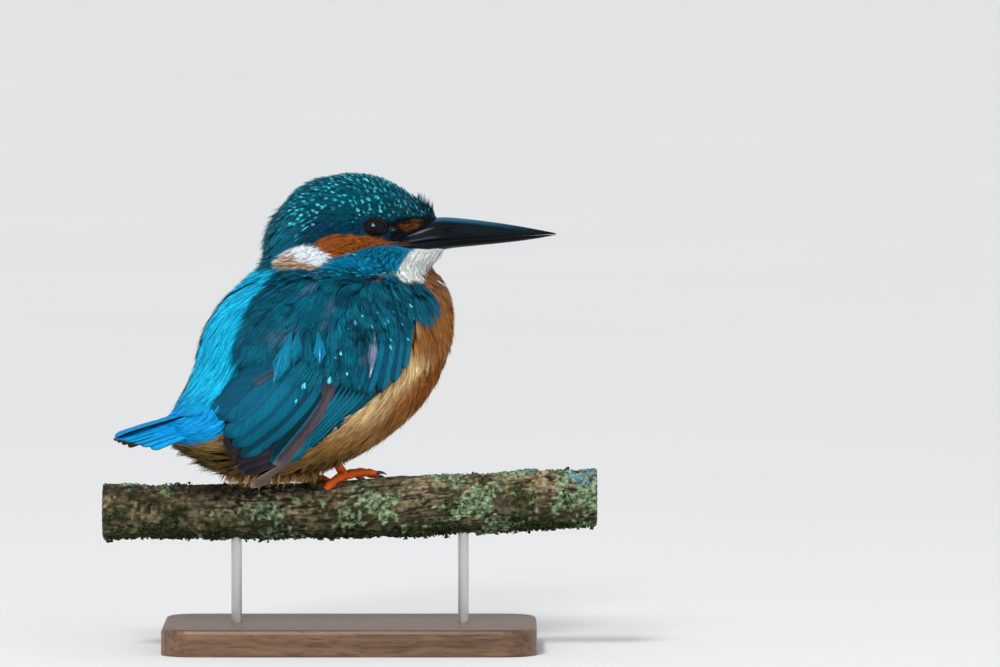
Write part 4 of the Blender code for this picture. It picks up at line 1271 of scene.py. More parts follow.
def wing_feathers(name, side):
    face = WingFace(name, side)
    flight, coverts = Vanes(7), Vanes(4)
    outer_feathers(flight, face)
    for k, (root, tip, wide, bow, outer, inner, rim, lead, blunt) in enumerate(INNER_FEATHERS):
        wing_vane(flight, face, root, tip, wide, -0.24 + 0.13 * k, outer, inner, rim, bow, lead, blunt)
    wing_vane(flight, face, (-25.0, 90.0), (-36.6, 80.6), 1.1, 0.44, srgb(54, 62, 78), srgb(30, 62, 84),
              srgb(24, 66, 88), 0.0)
    for k, (root, tip, wide) in enumerate(SMOOTH_COVERTS):
        wing_vane(coverts, face, root, tip, wide, 0.45 + 0.06 * k, srgb(8, 108, 136), srgb(6, 72, 94),
                  srgb(4, 40, 56), 0.4, lead=0.5, blunt=0.72, backed=False, rows=24)
    coverts.build(f"coverts_{name}", "wing")
    covert_tufts(name, face)
    flight.build(f"flight_feathers_{name}", "wing", f"flight_{name}")
    flight_bed(name, side)


for name, side in SIDES:
    wing_feathers(name, side)


# ---- tail --------------------------------------------------------------------------------------------------

TAIL_TOP, TAIL_DIM, TAIL_UNDER = srgb(8, 150, 212), srgb(6, 134, 198), srgb(74, 58, 44)


def tail_vane(vanes, root, tip, wide, tilt, blunt=0.86):
    """A feather from root to tip (forward, left, up) whose webs lie level but for a tilt downwards."""
    root, tip = np.array(root, float), np.array(tip, float)
    v = down_shaft(blunt, 16)
    side = 1.0 if tip[1] >= 0 else -1.0
    centre = root + np.outer(v, tip - root) + np.outer(1.1 * v * (1 - v), (0.0, 0.0, 1.0))
    half = wide * vane_outline(v, blunt, 0.6)
    reach = ACROSS * half[:, None] * np.where(ACROSS * side > 0, 0.8, 1.15)
    reach = parted(reach, v, 2, (0.4, 0.92), (0.05, 0.16), 0.018)
    p = centre[:, None] + reach[..., None] * np.array((0.0, math.cos(tilt), -side * math.sin(tilt)))
    p[..., 2] -= 0.12 * ACROSS**2
    p[..., 0] -= 0.35 * np.abs(reach) * (1 - v[:, None] ** 3)
    tone = np.where((ACROSS * side > 0)[None, :, None], TAIL_TOP, TAIL_DIM)
    tone = tone * np.ones((len(v), len(ACROSS), 3))
    # painted shade: a darker blue rim along the edges where one tail feather lies over the next
    tone = rimmed(tone, srgb(6, 104, 164), v, 0.8, 0.97, 0.7)
    tone = tone * math.exp(rng.normal(0, 0.08))
    under, low_tone = to_world(p - np.array((0, 0, 0.18))), TAIL_UNDER * np.ones_like(tone)
    vanes.put(to_world(p), under, tone, low_tone, reach, v, np.linalg.norm(tip - root), 13.7)


def tail_feathers():
    """Twelve feathers, the outer pairs lowest."""
    vanes = Vanes(4)
    for k in sorted(range(12), key=lambda k: -abs(k - 5.5)):
        a = (k - 5.5) / 5.5
        root = (-42.0 + 2.0 * abs(a), 5.0 * a, 72.4 - 2.4 * abs(a))
        tip = (-73.3 + 8.2 * a * a, 6.2 * a, 65.5 - 2.1 * a * a)
        tail_vane(vanes, root, tip, 3.1 - 0.3 * abs(a), 0.3 + 0.7 * a * a)
    vanes.build("tail_feathers", "tail", "tail")


def tail_flow(p, n):
    """The coat on the tail runs straight back."""
    return along_surface(turn_to_world(np.broadcast_to(np.array((-1.0, 0.0, -0.12)), p.shape)), n)


def blue_over(spots):
    share = ramp(-to_body(spots)[..., 0], 50, 64)
    return over(RUMP, TAIL_TOP, share) * (0.7 + 0.6 * fractal(spots, 1.5, 41, 2))[..., None]


def coat_tail_over():
    """Soft blue feathers that cover the roots of the tail."""
    points, quads = remeshed([cad_form("tail")], 0.6)
    surface = Surface(smoothed(points, quads, SETTLE * 2), quads)
    spots = surface.pool(9000)
    b = to_body(spots)
    upper = (surface.near(spots)[1][:, 2] > 0.25) & (b[:, 0] > -48.5 + 0.3 * np.abs(b[:, 1]))
    roots = thinned(spots[upper], 1.25)
    lines = combed(roots, varied(9.5, len(roots), 0.15), surface=surface, flow=tail_flow)
    shape = dict(tint=blue_over, vary=0.2, root_dark=0.5)
    grow("coat_tail_over", SHINE, "tail", lines, 1.3, 24, 0.16, 0.6, 0.5, **shape)


tail_feathers()
coat_tail_over()


# ---- spots, crest and loose plumes -------------------------------------------------------------------------


def flecks(name, where, apart, length, low, wide, strands, fine, colours, chance, lift=0.25, vary=0.14):
    """Bright tips of some feathers: short bundles of barbs near the ends of their lines."""
    roots = thinned(pool[where], apart)
    roots = roots[rng.random(len(roots)) < chance]
    count = len(roots)
    lines = combed(roots, varied(length, count), jitter=0.15)
    lines = cut(lines, np.linspace(low, 1, lines[0].shape[1])[None] * np.ones((count, 1)))
    tone = np.array(colours)[rng.integers(0, len(colours), count)] * np.exp(rng.normal(0, 0.12, (count, 1)))
    grow("spots_" + name, SHINE, "head", lines, varied(wide, count, 0.15), strands, fine, 0.3, lift,
         tint=tone, root_dark=0.8, start=0.35, ragged=0.3, vary=vary, camber=0.05)


# Outline over the crown's spots, along X and up.
CROWN_SPOTS = (
    (-25, 124), (-16, 128), (-11, 132), (-6, 133.4), (-1, 132.6), (4, 131.4),
    (8, 131.0), (14, 130.2), (20, 130.4), (27, 130.4), (29, 145), (-25, 145),
)
crown_spots = on_head & (Z > 129.0 - 0.2 * np.maximum(X - 6, 0)) & (X > -20) & (X < 25) & ~bare
crown_spots &= outside(CROWN_SPOTS, X, Z) < 0
nape_spots = on_head & (X <= -9) & (Z > np.interp(X, (-17, -9), (119.5, 126.5))) & (Z < 131)
nape_spots &= outside(NECK_PATCH, X, Z) > 1.0
forehead_spots = on_head & (X > 14) & (X < 26) & (Z > 129.8) & (Z < 134.5) & ~bare
side_spots = on_head & (np.hypot((X + 7.5) / 4.5, (Z - 129.5) / 3.0) < 1)
malar_spots = on_head & (Z < 119.3) & (Z > 112.8) & (X > -12) & (X < 17) & (outside(THROAT, X, Z) > 0.5)
malar_spots &= (outside(NECK_PATCH, X, Z) > 0.6) & (outside(EAR_PATCH, X, Z) > 0.3)
brow_spots = on_head & (np.abs(np.hypot((X - EYE_X) / 4.7, (Z - EYE_Z) / 4.0) - 1.05) < 0.16)
brow_spots &= (Z > 128.2) & (X > 2) & (X < 13)

# name: where, apart, length, where on it they start, half width, barbs, barb width, colours, the rest
SPOTS = {
    "crown": (crown_spots, 1.65, 3.3, 0.52, 0.62, 16, 0.14,
              (srgb(56, 190, 196), srgb(36, 168, 176), srgb(92, 206, 216), srgb(30, 150, 176)),
              dict(lift=0.35, chance=0.95, vary=0.22)),
    "nape": (nape_spots, 1.9, 5.2, 0.3, 0.36, 8, 0.14,
             (srgb(40, 150, 180), srgb(20, 124, 156), srgb(60, 172, 190), srgb(12, 104, 124)),
             dict(lift=0.8, chance=0.85)),
    "forehead": (forehead_spots, 1.3, 2.0, 0.4, 0.32, 8, 0.13,
                 (srgb(124, 190, 190), srgb(72, 150, 156), srgb(132, 128, 112)), dict(lift=0.5, chance=0.75)),
    "side": (side_spots, 2.1, 3.2, 0.5, 0.35, 6, 0.15,
             (srgb(110, 196, 222), srgb(60, 160, 200)), dict(chance=0.6)),
    "malar": (malar_spots, 1.4, 3.6, 0.3, 0.36, 8, 0.14,
              (srgb(16, 146, 190), srgb(10, 126, 160), srgb(34, 164, 196)), dict(chance=0.8)),
    "brow": (brow_spots, 1.1, 1.6, 0.3, 0.28, 5, 0.13,
             (srgb(96, 190, 206), srgb(40, 130, 160)), dict(chance=0.7, lift=0.1)),
}
for name, (*sizes, rest) in SPOTS.items():
    flecks(name, *sizes, **rest)


def crest(name, centre, size, number, length, rise, colours):
    """Plumes that stand up from the head round a point."""
    near = pool[np.linalg.norm((pool - np.array(centre)) / np.array(size), axis=1) < 1]
    roots = thinned(near, 0.7)[:number]
    lines = combed(roots, length * rng.uniform(0.7, 1.15, len(roots)), jitter=0.3)
    tone = np.array(colours)[rng.integers(0, len(colours), len(roots))]
    rise = rise * rng.uniform(0.4, 1.0, len(roots))
    shape = dict(tint=tone, root_dark=0.5, splay=0.35, ragged=0.35)
    grow("crest_" + name, COAT, "head", lines, 0.6, 11, 0.14, 0.6, rise, **shape)


crest("forehead", (24.0, HEAD_Y, 132.2), (3.0, 5.5, 3.0), 90, 3.8, 3.6,
      (srgb(6, 66, 84), srgb(16, 112, 134), srgb(16, 40, 48)))
crest("crown", (-12.0, HEAD_Y, 139.0), (10.0, 8.0, 4.5), 110, 6.0, 1.3, (srgb(6, 70, 88), srgb(14, 118, 140)))
crest("nape", (-22.0, HEAD_Y, 126.5), (5.0, 12.0, 12.0), 240, 6.8, 3.1,
      (srgb(6, 76, 94), srgb(20, 128, 150), srgb(16, 56, 60)))


def strays(name, where, apart, length, jitter, wide, strands, fine, most, least, dark, finish):
    """Strands that stand off the outline."""
    roots = thinned(pool[where], apart)
    lines = combed(roots, length * rng.uniform(0.7, 1.2, len(roots)), jitter=jitter)
    lift = rng.uniform(least, most, len(roots))
    shape = dict(splay=0.6, ragged=0.4, root_dark=dark, vary=0.2)
    grow("strays_" + name, finish, "trunk", lines, wide, strands, fine, 1.0, lift, **shape)


back_here = (np.abs(L) < 16) & (Z > 66) & (Z < 112) & (F - back_line(Z) < 16) & ~under_wing
strays("back", back_here, 3.2, 13.0, 0.16, 0.7, 9, 0.14, 1.9, 0.5, 0.5, SHINE)
breast_here = (F > 8) & (Z > 62) & (Z < 106) & (np.abs(L) < 26) & ~wing_here & ~bare
strays("breast", breast_here, 2.6, 8.0, 0.3, 0.6, 8, 0.13, 1.8, 0.3, 0.8, SOFT)


def belly_wisps():
    """Wisps that hang beside the wing's tip and over the feet's roots."""
    roots = thinned(pool[(F < 2) & (F > -33) & (Z < 57.5) & (L < 6) & (L > -11)], 0.75)
    roots = roots[(roots[:, 0] < -9) | (rng.random(len(roots)) < 0.5)]
    count = len(roots)
    outward = FULL.near(roots)[1]
    fall = unit(turn_to_world(np.array((-0.8, -0.05, -1.0))) + rng.normal(0, 0.3, (count, 3)))
    lowest = np.interp(roots[:, 0], (-10, -7.5, -6, 0), (50.2, 51.5, 55.5, 58.0))
    length = np.clip((roots[:, 2] - lowest) / 0.75, 1.2, 8.5) * rng.uniform(0.45, 1.05, count)
    wide = rng.uniform(0.35, 0.9, count)
    t = np.linspace(0, 1, 6)[None, :, None]
    path = roots[:, None] + (fall * length[:, None])[:, None] * t
    path = path + 0.25 * length[:, None, None] * outward[:, None] * np.sin(t * 2.2)
    normals = np.repeat(outward[:, None], 6, 1)
    tones = np.array((srgb(188, 150, 96), srgb(214, 180, 124), srgb(150, 116, 70)))
    tone = tones[rng.integers(0, len(tones), count)] * np.exp(rng.normal(0, 0.15, (count, 1)))
    lines = path, normals, unit(np.cross(normals, np.gradient(path, axis=1)))
    shape = dict(tint=tone, splay=0.75, ragged=0.5, root_dark=0.8)
    grow("coat_belly_wisps", SOFT, "trunk", lines, wide, 11, 0.13, 0.4, **shape)


def vent_tone(at):
    return over(srgb(158, 132, 78), srgb(92, 72, 38), fractal(at, 2.0, 47, 2) * 1.2)


def vent_plumes():
    """Loose pointed clumps under the tail's root."""
    roots = thinned(pool[(F < -30) & (Z < 64) & (np.abs(L) < 11)], 2.1)
    lines = combed(roots, 9.5 * rng.uniform(0.7, 1.2, len(roots)), jitter=0.3)
    ends = lines[0][:, -1]
    below = ends[:, 2] < np.interp(to_body(ends)[:, 0], (-56, -50, -46), (60.5, 62.5, 66))
    lines = tuple(rows[below] for rows in lines)
    lift = rng.uniform(0.6, 3.8, len(lines[0]))
    shape = dict(splay=0.9, ragged=0.25, root_dark=0.55, tip_light=0.5, vary=0.22, tint=vent_tone)
    grow("coat_vent_plumes", SOFT, "trunk", lines, 1.4, 20, 0.17, 1.5, lift, **shape)


belly_wisps()
vent_plumes()


# ---- bill --------------------------------------------------------------------------------------------------

# Along X, culmen, keel, half width; the base flares out under the feathers of the face.
BILL = (
    (11.6, 122.2, 120.2, 11.6), (14.5, 123.4, 119.6, 10.9), (18.0, 125.4, 119.2, 9.6),
    (21.0, 127.1, 119.0, 8.2), (24.0, 128.6, 119.0, 6.7), (27.0, 129.2, 119.3, 5.3),
    (31.0, 129.1, 120.0, 4.2), (37.0, 128.5, 120.6, 3.5), (44.0, 127.6, 121.3, 2.8),
    (51.0, 126.5, 122.1, 2.1), (57.0, 125.4, 123.0, 1.3), (60.6, 124.7, 123.7, 0.6),
    (61.9, 124.35, 124.0, 0.22),
)
# Pale streaks on the upper half: start, end, half width, colour, share. The second is a painted highlight
# along the mouth line.
BILL_STREAKS = (
    ((15.0, 123.2), (26.0, 126.6), 0.42, srgb(112, 102, 118), 0.75),
    ((17.0, 122.3), (28.0, 123.9), 0.3, srgb(84, 84, 96), 0.55),
)


NOSTRIL_X, NOSTRIL_Z = 29.4, 125.5


def bill_finish():
    f = Finish("bill_horn", Specular_IOR_Level=0.11, Specular_Tint=(0.6, 0.85, 1.0, 1.0))
    tint = f.attribute("tint")
    grain = f.noise(1.0, 4.0, 0.6, f.stretched(f.place(), 120.0, 1500.0, 2200.0))
    fine = f.noise(2600.0, 2.0)
    colour = f.dyed(tint, grain, (0.72, 0.72, 0.74), (1.3, 1.3, 1.28))
    rough = f.span(grain, 0.25, 0.75, 0.24, 0.44)
    return f.done(colour, rough, f.plus(f.times(grain, 0.7), f.times(fine, 0.3)), 0.35, 0.00008)


def bill_line(x):
    """Height at which the two halves of the bill meet."""
    return np.interp(x, (10, 26, 66), (120.9, 122.6, 124.3))


def in_nostril(x, z, long, tall):
    ahead = x - NOSTRIL_X
    return np.exp(-((ahead / long) ** 2) - (((z - NOSTRIL_Z - 0.12 * ahead) / tall) ** 2))


def bill_form(upper, rows=150, around=64):
    """One half of the bill: its outside, a flat inside, and the culmen's line."""
    x, culmen, keel, half = (column[:, None] for column in smooth_rows(BILL, rows).T)
    line, gap = bill_line(x), 0.07 if upper else -0.07
    power = mix(2.5, 1.75, ramp(x, 22, 34))
    a = np.linspace(0, math.pi, around)
    across = np.sign(np.cos(a)) * np.abs(np.cos(a)) ** (2 / power)
    z = line + gap + ((culmen if upper else keel) - line - gap) * np.abs(np.sin(a)) ** (2 / power)
    y = half * across
    xx = x * np.ones(around)
    # the cutting edge is a narrow step, and a shallow groove runs forward from the nostril
    y = y * (1 - (0.05 if upper else 0.09) * np.exp(-(((z - line) / 0.35) ** 2)))
    if upper:
        groove = np.exp(-(((z - (125.2 + 0.02 * (xx - 28))) / 0.7) ** 2))
        groove = groove * ramp(xx, 24, 28) * ramp(-xx, -46, -34)
        y = y - np.sign(y) * (0.16 * groove + 0.6 * in_nostril(xx, z, 1.7, 0.42))
    else:
        y = y - np.sign(y) * 0.14 * (np.exp(-(((z - (line - 1.2)) / 0.5) ** 2)) * ramp(-xx, -52, -30))
    y = y + np.sign(y) * 0.07 * (fractal(np.stack([xx * 0.25, y * 1.5, z * 2.5], -1), 1.0, 81) - 0.5)
    outer = np.stack([xx, HEAD_Y + y, z], -1)
    inner = np.stack([xx, HEAD_Y + (half * np.linspace(-0.93, 0.93, around)), line + gap + 0 * z], -1)
    return np.concatenate([outer, inner[:, 4:-4]], 1), (x[:, 0], culmen[:, 0])


def bill_colours(points, upper, culmen):
    x, z = points[:, 0], points[:, 2]
    base = srgb(8, 10, 12)
    if upper:
        top_sheen = ramp(z - np.interp(x, *culmen), -1.6, -0.2) * ramp(-x, -58, -30)
        base = over(base, srgb(36, 98, 126), 0.85 * top_sheen)
    base = over(base, srgb(24, 25, 30), 0.6 * ramp(-x, -30, -18))
    for start, end, broad, colour, share in BILL_STREAKS if upper else ():
        far, t = to_segment(x, z, start, end)
        streak = ramp(-far + 0.3 * (fractal(points, 0.9, 87) - 0.5), -broad, -0.1) * ramp(t, 0.0, 0.2)
        base = over(base, colour, share * (streak * ramp(-t, -1.0, -0.6)))
    base = base * (0.65 + 0.8 * fractal(points * np.array((0.12, 1.6, 2.2)), 1.0, 83))[:, None]
    gape = ramp(-np.abs(z - bill_line(x)), -0.6, -0.15) * ramp(-x, -20.5, -14.5)
    base = over(base, srgb(140, 84, 66), gape * 0.8)
    # painted shade: the nostril's slit nearly black
    return over(base, srgb(4, 4, 5), 0.9 * in_nostril(x, z, 1.5, 0.35)) if upper else base


def make_bill_half(name, upper, node, finish):
    ring, culmen = bill_form(upper)
    points, tris = ring_surface(ring)
    tints = bill_colours(points, upper, culmen)
    make_piece(name, points, tris if upper else tris[:, ::-1], finish, "bill", node, tints=tints)


horn = bill_finish()
make_bill_half("bill_above", True, "bill_upper", horn)
make_bill_half("bill_below", False, "bill_lower", horn)


# ---- eyes --------------------------------------------------------------------------------------------------


def head_side(x, z, side):
    """The full surface on one side of the head, and its normal."""
    at, n = FULL.near(np.stack(np.broadcast_arrays(x, HEAD_Y + side * 19.0, z), -1).reshape(-1, 3))
    return at.reshape(np.shape(x) + (3,)), n.reshape(np.shape(x) + (3,))


IRIS_EDGE, BULGE_EDGE = 3.4, 3.2  # distance from the eye's axis


def eye_finish():
    f = Finish("eye_gloss", Roughness=0.03, Specular_IOR_Level=0.11, Specular_Tint=(0.6, 0.82, 1.0, 1))
    ring = f.attribute("ring", "Fac")
    rays = f.noise(1500.0, 3.0)
    iris = f.blend(f.span(rays, 0.3, 0.7), (0.002, 0.0012, 0.001), (0.006, 0.003, 0.002))
    return f.done(f.blend(f.span(ring, 0.5, 0.56), (0.0015, 0.0015, 0.002), iris), None)


def lid_finish():
    f = Finish("eyelid", Specular_IOR_Level=0.07)
    grain = f.noise(2600.0, 3.0)
    colour = f.blend(f.span(grain, 0.3, 0.7), (0.002, 0.002, 0.003), (0.008, 0.008, 0.01))
    return f.done(colour, f.span(grain, 0.3, 0.7, 0.4, 0.6), grain, 0.6, 0.0001)


def make_eye(name, side, finish, around=64):
    """The ball, with the place of each point between the pupil's middle and the iris's edge."""
    rings, shares = [], []
    turn = circle(around)
    for polar in np.linspace(0.001, math.pi - 0.001, 44):
        r, h = EYE_RADIUS * math.sin(polar), EYE_RADIUS * math.cos(polar)
        bulge = 0.2 * max(0.0, 1 - (r / BULGE_EDGE) ** 2) ** 2 if h > 0 else 0.0
        out = np.full(around, HEAD_Y + side * (EYE_SIDE + h + bulge))
        z = EYE_Z - side * EYE_TALL * r * np.sin(turn)
        rings.append(np.column_stack([EYE_X + r * np.cos(turn), out, z]))
        shares.append(np.full(around, r / IRIS_EDGE if h > 0 else 1.0))
    eye = make_piece(f"eyeball_{name}", *ring_surface(rings), finish, "eye", f"eye_{name}")
    ring = eye.data.attributes.new("ring", "FLOAT", "POINT")
    ring.data.foreach_set("value", np.concatenate(shares + [[0.0], [1.0]]).astype(np.float32))


def make_lid(name, side, finish, around=96, across=12):
    """A soft fold that hugs the ball and runs out under the feathers."""
    turn = circle(around)
    rows = []
    for share in (k / (across - 1) for k in range(across)):
        wide, tall = mix(2.8, 3.3, share), mix(1.95, 2.5, share)
        corner = 0.35 * np.cos(turn) ** 8 * (1 - share)
        x = EYE_X + (wide + corner) * np.cos(turn)
        z = EYE_Z + tall * np.sin(turn) - 0.1 * np.cos(turn)
        at, _ = head_side(x, z, side)
        r = np.hypot(x - EYE_X, (z - EYE_Z) / EYE_TALL)
        ball = EYE_SIDE + np.sqrt(np.clip(EYE_RADIUS**2 - r**2, 0.0, None))
        skin_out = np.abs(at[:, 1] - HEAD_Y) - 0.9
        fold = 0.3 * math.exp(-(((share - 0.16) / 0.12) ** 2))
        fold = fold + 0.12 * math.exp(-(((share - 0.5) / 0.1) ** 2))
        out = mix(np.maximum(ball + 0.06, skin_out), skin_out, ramp(share, 0.4, 0.9))
        beads = 0.05 * np.sin(turn * 30) * math.exp(-(((share - 0.16) / 0.1) ** 2))
        rows.append(np.column_stack([x, HEAD_Y + side * (out + fold + beads), z]))
    tris = grid_faces(across, around, wrap=True)
    tris = tris[:, ::-1] if side < 0 else tris
    make_piece(f"eyelid_{name}", np.array(rows).reshape(-1, 3), tris, finish, "head")


def make_gape(name, side, count=40):
    """The bare fleshy line that runs back from the bill's corner."""
    x = np.linspace(8.6, 18.5, count)
    at, n = head_side(x, bill_line(x) + 0.12 * np.sin(x * 2.2), -1)
    mirror = np.array((1.0, -side, 1.0))
    at, n = (at - (0, HEAD_Y, 0)) * mirror + (0, HEAD_Y, 0), n * mirror
    turn = circle(12)
    rings = []
    for k in range(count):
        r = 0.2 * math.sin(math.pi * min(1, 0.12 + 0.88 * (k / (count - 1)))) ** 0.6 + 0.05
        tangent = unit(at[min(k + 1, count - 1)] - at[max(k - 1, 0)])
        up = np.cross(n[k], tangent)
        middle = at[k] - n[k] * 0.18
        rings.append(middle + np.outer(np.cos(turn) * r, up) + np.outer(np.sin(turn) * r * 0.8, n[k]))
    points, tris = ring_surface(rings)
    tints = over(srgb(122, 66, 42), srgb(96, 66, 60), ramp(points[:, 0], 11, 18))
    make_piece(f"gape_{name}", points, tris, coat_finish(f"gape_skin_{name}", 0.4), "bill", tints=tints)


glossy, lid_skin = eye_finish(), lid_finish()
for name, side in SIDES:
    make_eye(name, side, glossy)
    make_lid(name, side, lid_skin)
    make_gape(name, side)


# ---- feet --------------------------------------------------------------------------------------------------

BRANCH_HEIGHT, BRANCH_RADIUS = 41.4, 8.5
GRIP_X = -8.0  # middle of the stretch that the feet grip
FEET = {
    "right": {"x": -1.5, "turn": -12.0, "ankle": (-8.5, 0.5, 63.0)},
    "left": {"x": -15.5, "turn": 16.0, "ankle": (-20.0, 5.0, 63.0)},
}
# name, heading in degrees, length, radius
TOES = (
    ("outer", 19.0, 9.6, 1.1), ("middle", 37.0, 12.0, 1.2),
    ("inner", 56.0, 8.6, 1.0), ("hind", 227.0, 8.2, 1.15),
)


def branch_middle(x):
    return BRANCH_HEIGHT + 0.024 * (x + 15 + np.hypot(x + 15, 14)) - 0.2


def branch_radius(x):
    swelling = 0.3 * np.sin(x / 17 + 0.6) + 0.2 * np.sin(x / 7.3)
    return BRANCH_RADIUS + 0.006 * x + swelling * np.minimum(1.0, np.abs(x - GRIP_X) / 30)


def branch_axis(x):
    """The branch's middle line at each place along X."""
    return np.stack([x, 0 * x, branch_middle(x)], -1)


def on_branch(x, turn, height):
    """Points this high over the branch, along it and round it from its top."""
    reach = branch_radius(x) + height
    return np.stack([x + 0 * turn, reach * np.sin(turn), branch_middle(x) + reach * np.cos(turn)], -1)


def limb(line, radii, around=22, squash=None, wrinkle=0.0, pitch=1.0):
    """A closed tube along a line of points, ringed by fine scutes and with round ends."""
    tangent = unit(np.gradient(line, axis=0))
    turn = circle(around)
    run = np.concatenate([[0], np.cumsum(np.linalg.norm(np.diff(line, axis=0), axis=1))])
    flat = np.where(np.sin(turn) < 0, squash or 1.0, 1.0)
    rings = []
    for p, t, r, at in zip(line, tangent, radii, run):
        guide = unit(p - branch_axis(p[0])) if squash else np.array((0.0, 0.0, 1.0))
        if abs(guide @ t) > 0.9:
            guide = np.array((1.0, 0.0, 0.0))
        side = unit(np.cross(t, guide))
        plate = (at / pitch) % 1.0
        ring_r = r * (1 + wrinkle * (plate**0.6 - 0.5) * (0.35 + 0.65 * np.clip(np.sin(turn), 0, 1)))
        up = np.cross(side, t)
        rings.append(p + np.outer(np.cos(turn) * ring_r, side) + np.outer(np.sin(turn) * ring_r * flat, up))
    first, last, a, b = rings[0], rings[-1], line[0], line[-1]
    start = a + (first - a) * 0.55 - tangent[0] * radii[0] * 0.35
    ends = [b + (last - b) * wide + tangent[-1] * radii[-1] * far for wide, far in ((0.6, 0.4), (0.2, 0.55))]
    return ring_surface([start] + rings + ends)


def toe_path(foot, heading, length, radius, count=60):
    share = np.linspace(0, 1, count)
    run = length * share
    heading = math.radians(heading)
    x = foot["x"] + run * math.cos(heading)
    turn = math.radians(foot["turn"]) + run * math.sin(heading) / (branch_radius(x) + radius)
    return on_branch(x, turn, radius + 0.45 + 0.35 * np.sin(math.pi * share))


def leg_finish():
    f = Finish("leg_skin", Specular_IOR_Level=0.2)
    tint = f.attribute("tint")
    cells = f.add("TexVoronoi", {"Vector": f.place(), "Scale": 2400.0}, feature="DISTANCE_TO_EDGE")
    edge = f.span(cells.outputs["Distance"], 0.0, 0.12)
    fine = f.noise(1400.0, 3.0)
    lit = f.dyed(f.blend(fine, (0.82, 0.78, 0.76), (1.16, 1.2, 1.22)), edge, (0.78, 0.7, 0.68), 1.0)
    colour = f.blend(1.0, tint, lit, "MULTIPLY")
    return f.done(colour, f.span(fine, 0.3, 0.7, 0.36, 0.52), f.plus(edge, f.times(fine, 0.5)), 0.5, 0.00008)


def claw_finish():
    f = Finish("claw_horn", Specular_IOR_Level=0.5)
    grain = f.noise(1800.0, 3.0)
    colour = f.blend(f.span(grain, 0.3, 0.7), (0.012, 0.012, 0.014), (0.05, 0.047, 0.045))
    return f.done(colour, f.span(grain, 0.3, 0.7, 0.28, 0.45), grain, 0.3, 0.00006)


def make_foot(name, foot, finish):
    """The shank and the toes in one piece."""
    pad = on_branch(np.array(float(foot["x"])), np.array(math.radians(foot["turn"])), 1.6)
    share = np.linspace(0, 1, 60)
    radii = 1.35 * np.interp(share, (0, 0.12, 0.3, 0.6, 1), (1.1, 1.05, 0.9, 0.95, 1.15))
    parts = [limb(pad + np.outer(share, np.array(foot["ankle"]) - pad), radii, wrinkle=0.1, pitch=1.15)]
    for toe, heading, length, radius in TOES:
        joints = 0.08 * np.cos(share * 2 * math.pi * (3 if toe != "hind" else 2))
        taper = np.interp(share, (0, 0.2, 0.8, 1), (1.02, 1.0, 0.92, 0.7))
        taper = taper - joints * ramp(share, 0, 0.1) * 0.9
        path = toe_path(foot, heading, length, radius)
        parts.append(limb(path, 1.18 * radius * taper, squash=0.85, wrinkle=0.12, pitch=0.8))
    points, tris = joined(parts)
    tone = over(srgb(232, 98, 14), srgb(206, 78, 8), 0.7 * ramp(points[:, 2], 47, 58))
    tone = tone * (0.8 + 0.4 * fractal(points, 1.2, 91))[:, None]
    tone = over(tone, srgb(232, 120, 88), 0.35 * ramp(fractal(points, 2.4, 93), 0.5, 0.7))
    make_piece(f"foot_{name}", points, tris, finish, "leg", f"leg_{name}", tints=tone)


def make_nail(name, foot, toe, finish):
    """A claw that runs on from its toe and keeps clear of the branch."""
    toe_name, heading, length, radius = toe
    line = toe_path(foot, heading, length, radius)
    ahead = unit(line[-1] - line[-6])
    outward = unit(line[-1] - branch_axis(line[-1][0]))
    share = np.linspace(0, 1, 26)
    path = line[-1] + ahead * 0.3 + np.outer(share * 3.4, ahead)
    path = path + np.outer(0.35 * np.sin(math.pi * share) - 0.3 * share**2, outward)
    thick = 0.62 * (1 - 0.86 * share**1.4)
    axis = branch_axis(path[:, 0])
    away = path - axis
    reach = np.linalg.norm(away, axis=1)
    least = branch_radius(path[:, 0]) + thick + 0.25
    path = axis + away / reach[:, None] * np.maximum(reach, least)[:, None]
    form = limb(path, thick, around=16)
    make_piece(f"nail_{name}_{toe_name}", *form, finish, "claw", f"claw_{name}_{toe_name}")


leg_skin, claw_horn = leg_finish(), claw_finish()
for name, foot in FEET.items():
    make_foot(name, foot, leg_skin)
    for toe in TOES:
        make_nail(name, foot, toe, claw_horn)


# ---- branch ------------------------------------------------------------------------------------------------

HALF, ROWS, AROUND = 74.0, 440, 200  # half the branch's length, and the size of its grid of points
# Knots on the bark: along X, turn, size.
SCARS = ((33.0, 1.1, 3.2), (-41.0, 2.6, 2.8), (58.0, -0.5, 2.6), (-62.0, -1.2, 3.0))
END_STEPS = 16  # rings on each sawn end

bark_turn = circle(AROUND)
along_x, turned = np.meshgrid(np.linspace(-HALF, HALF, ROWS), bark_turn, indexing="ij")
thick = branch_radius(along_x)
facing_up = np.cos(turned)
bark_at = np.stack([along_x, thick * np.sin(turned), thick * facing_up], -1)
long_grain = fractal(bark_at * np.array((0.16, 1, 1)), 1.5, 101, 4)
plates = fractal(bark_at * np.array((0.35, 1, 1)), 4.5, 105, 3)
crumbs = fractal(bark_at, 1.0, 113, 3)
top, under = ramp(facing_up, 0.2, 0.9), ramp(-facing_up, 0.35, 0.85)
crack = ramp(-np.abs(long_grain - 0.5), -0.07, -0.015) * ramp(plates, 0.35, 0.6)
crust = 0.6 * fractal(bark_at, 9.0, 111, 4) + 0.4 * fractal(bark_at, 3.2, 117, 3) + 0.22 * (crumbs - 0.5)
crust = crust - 0.05 * under + 0.05 * ramp(along_x, 10, 60) - 0.04 * ramp(-along_x, 10, 40)
lichen = ramp(crust, 0.53, 0.6)
blue_lichen = ramp(fractal(bark_at, 6.0, 121, 3), 0.58, 0.63) * ramp(facing_up, 0.3, 0.8)
blue_lichen = blue_lichen * ramp(along_x, 40, 62)
moss = ramp(fractal(bark_at, 5.0, 131, 3) + 0.2 * under - 0.1 * top, 0.56, 0.66)


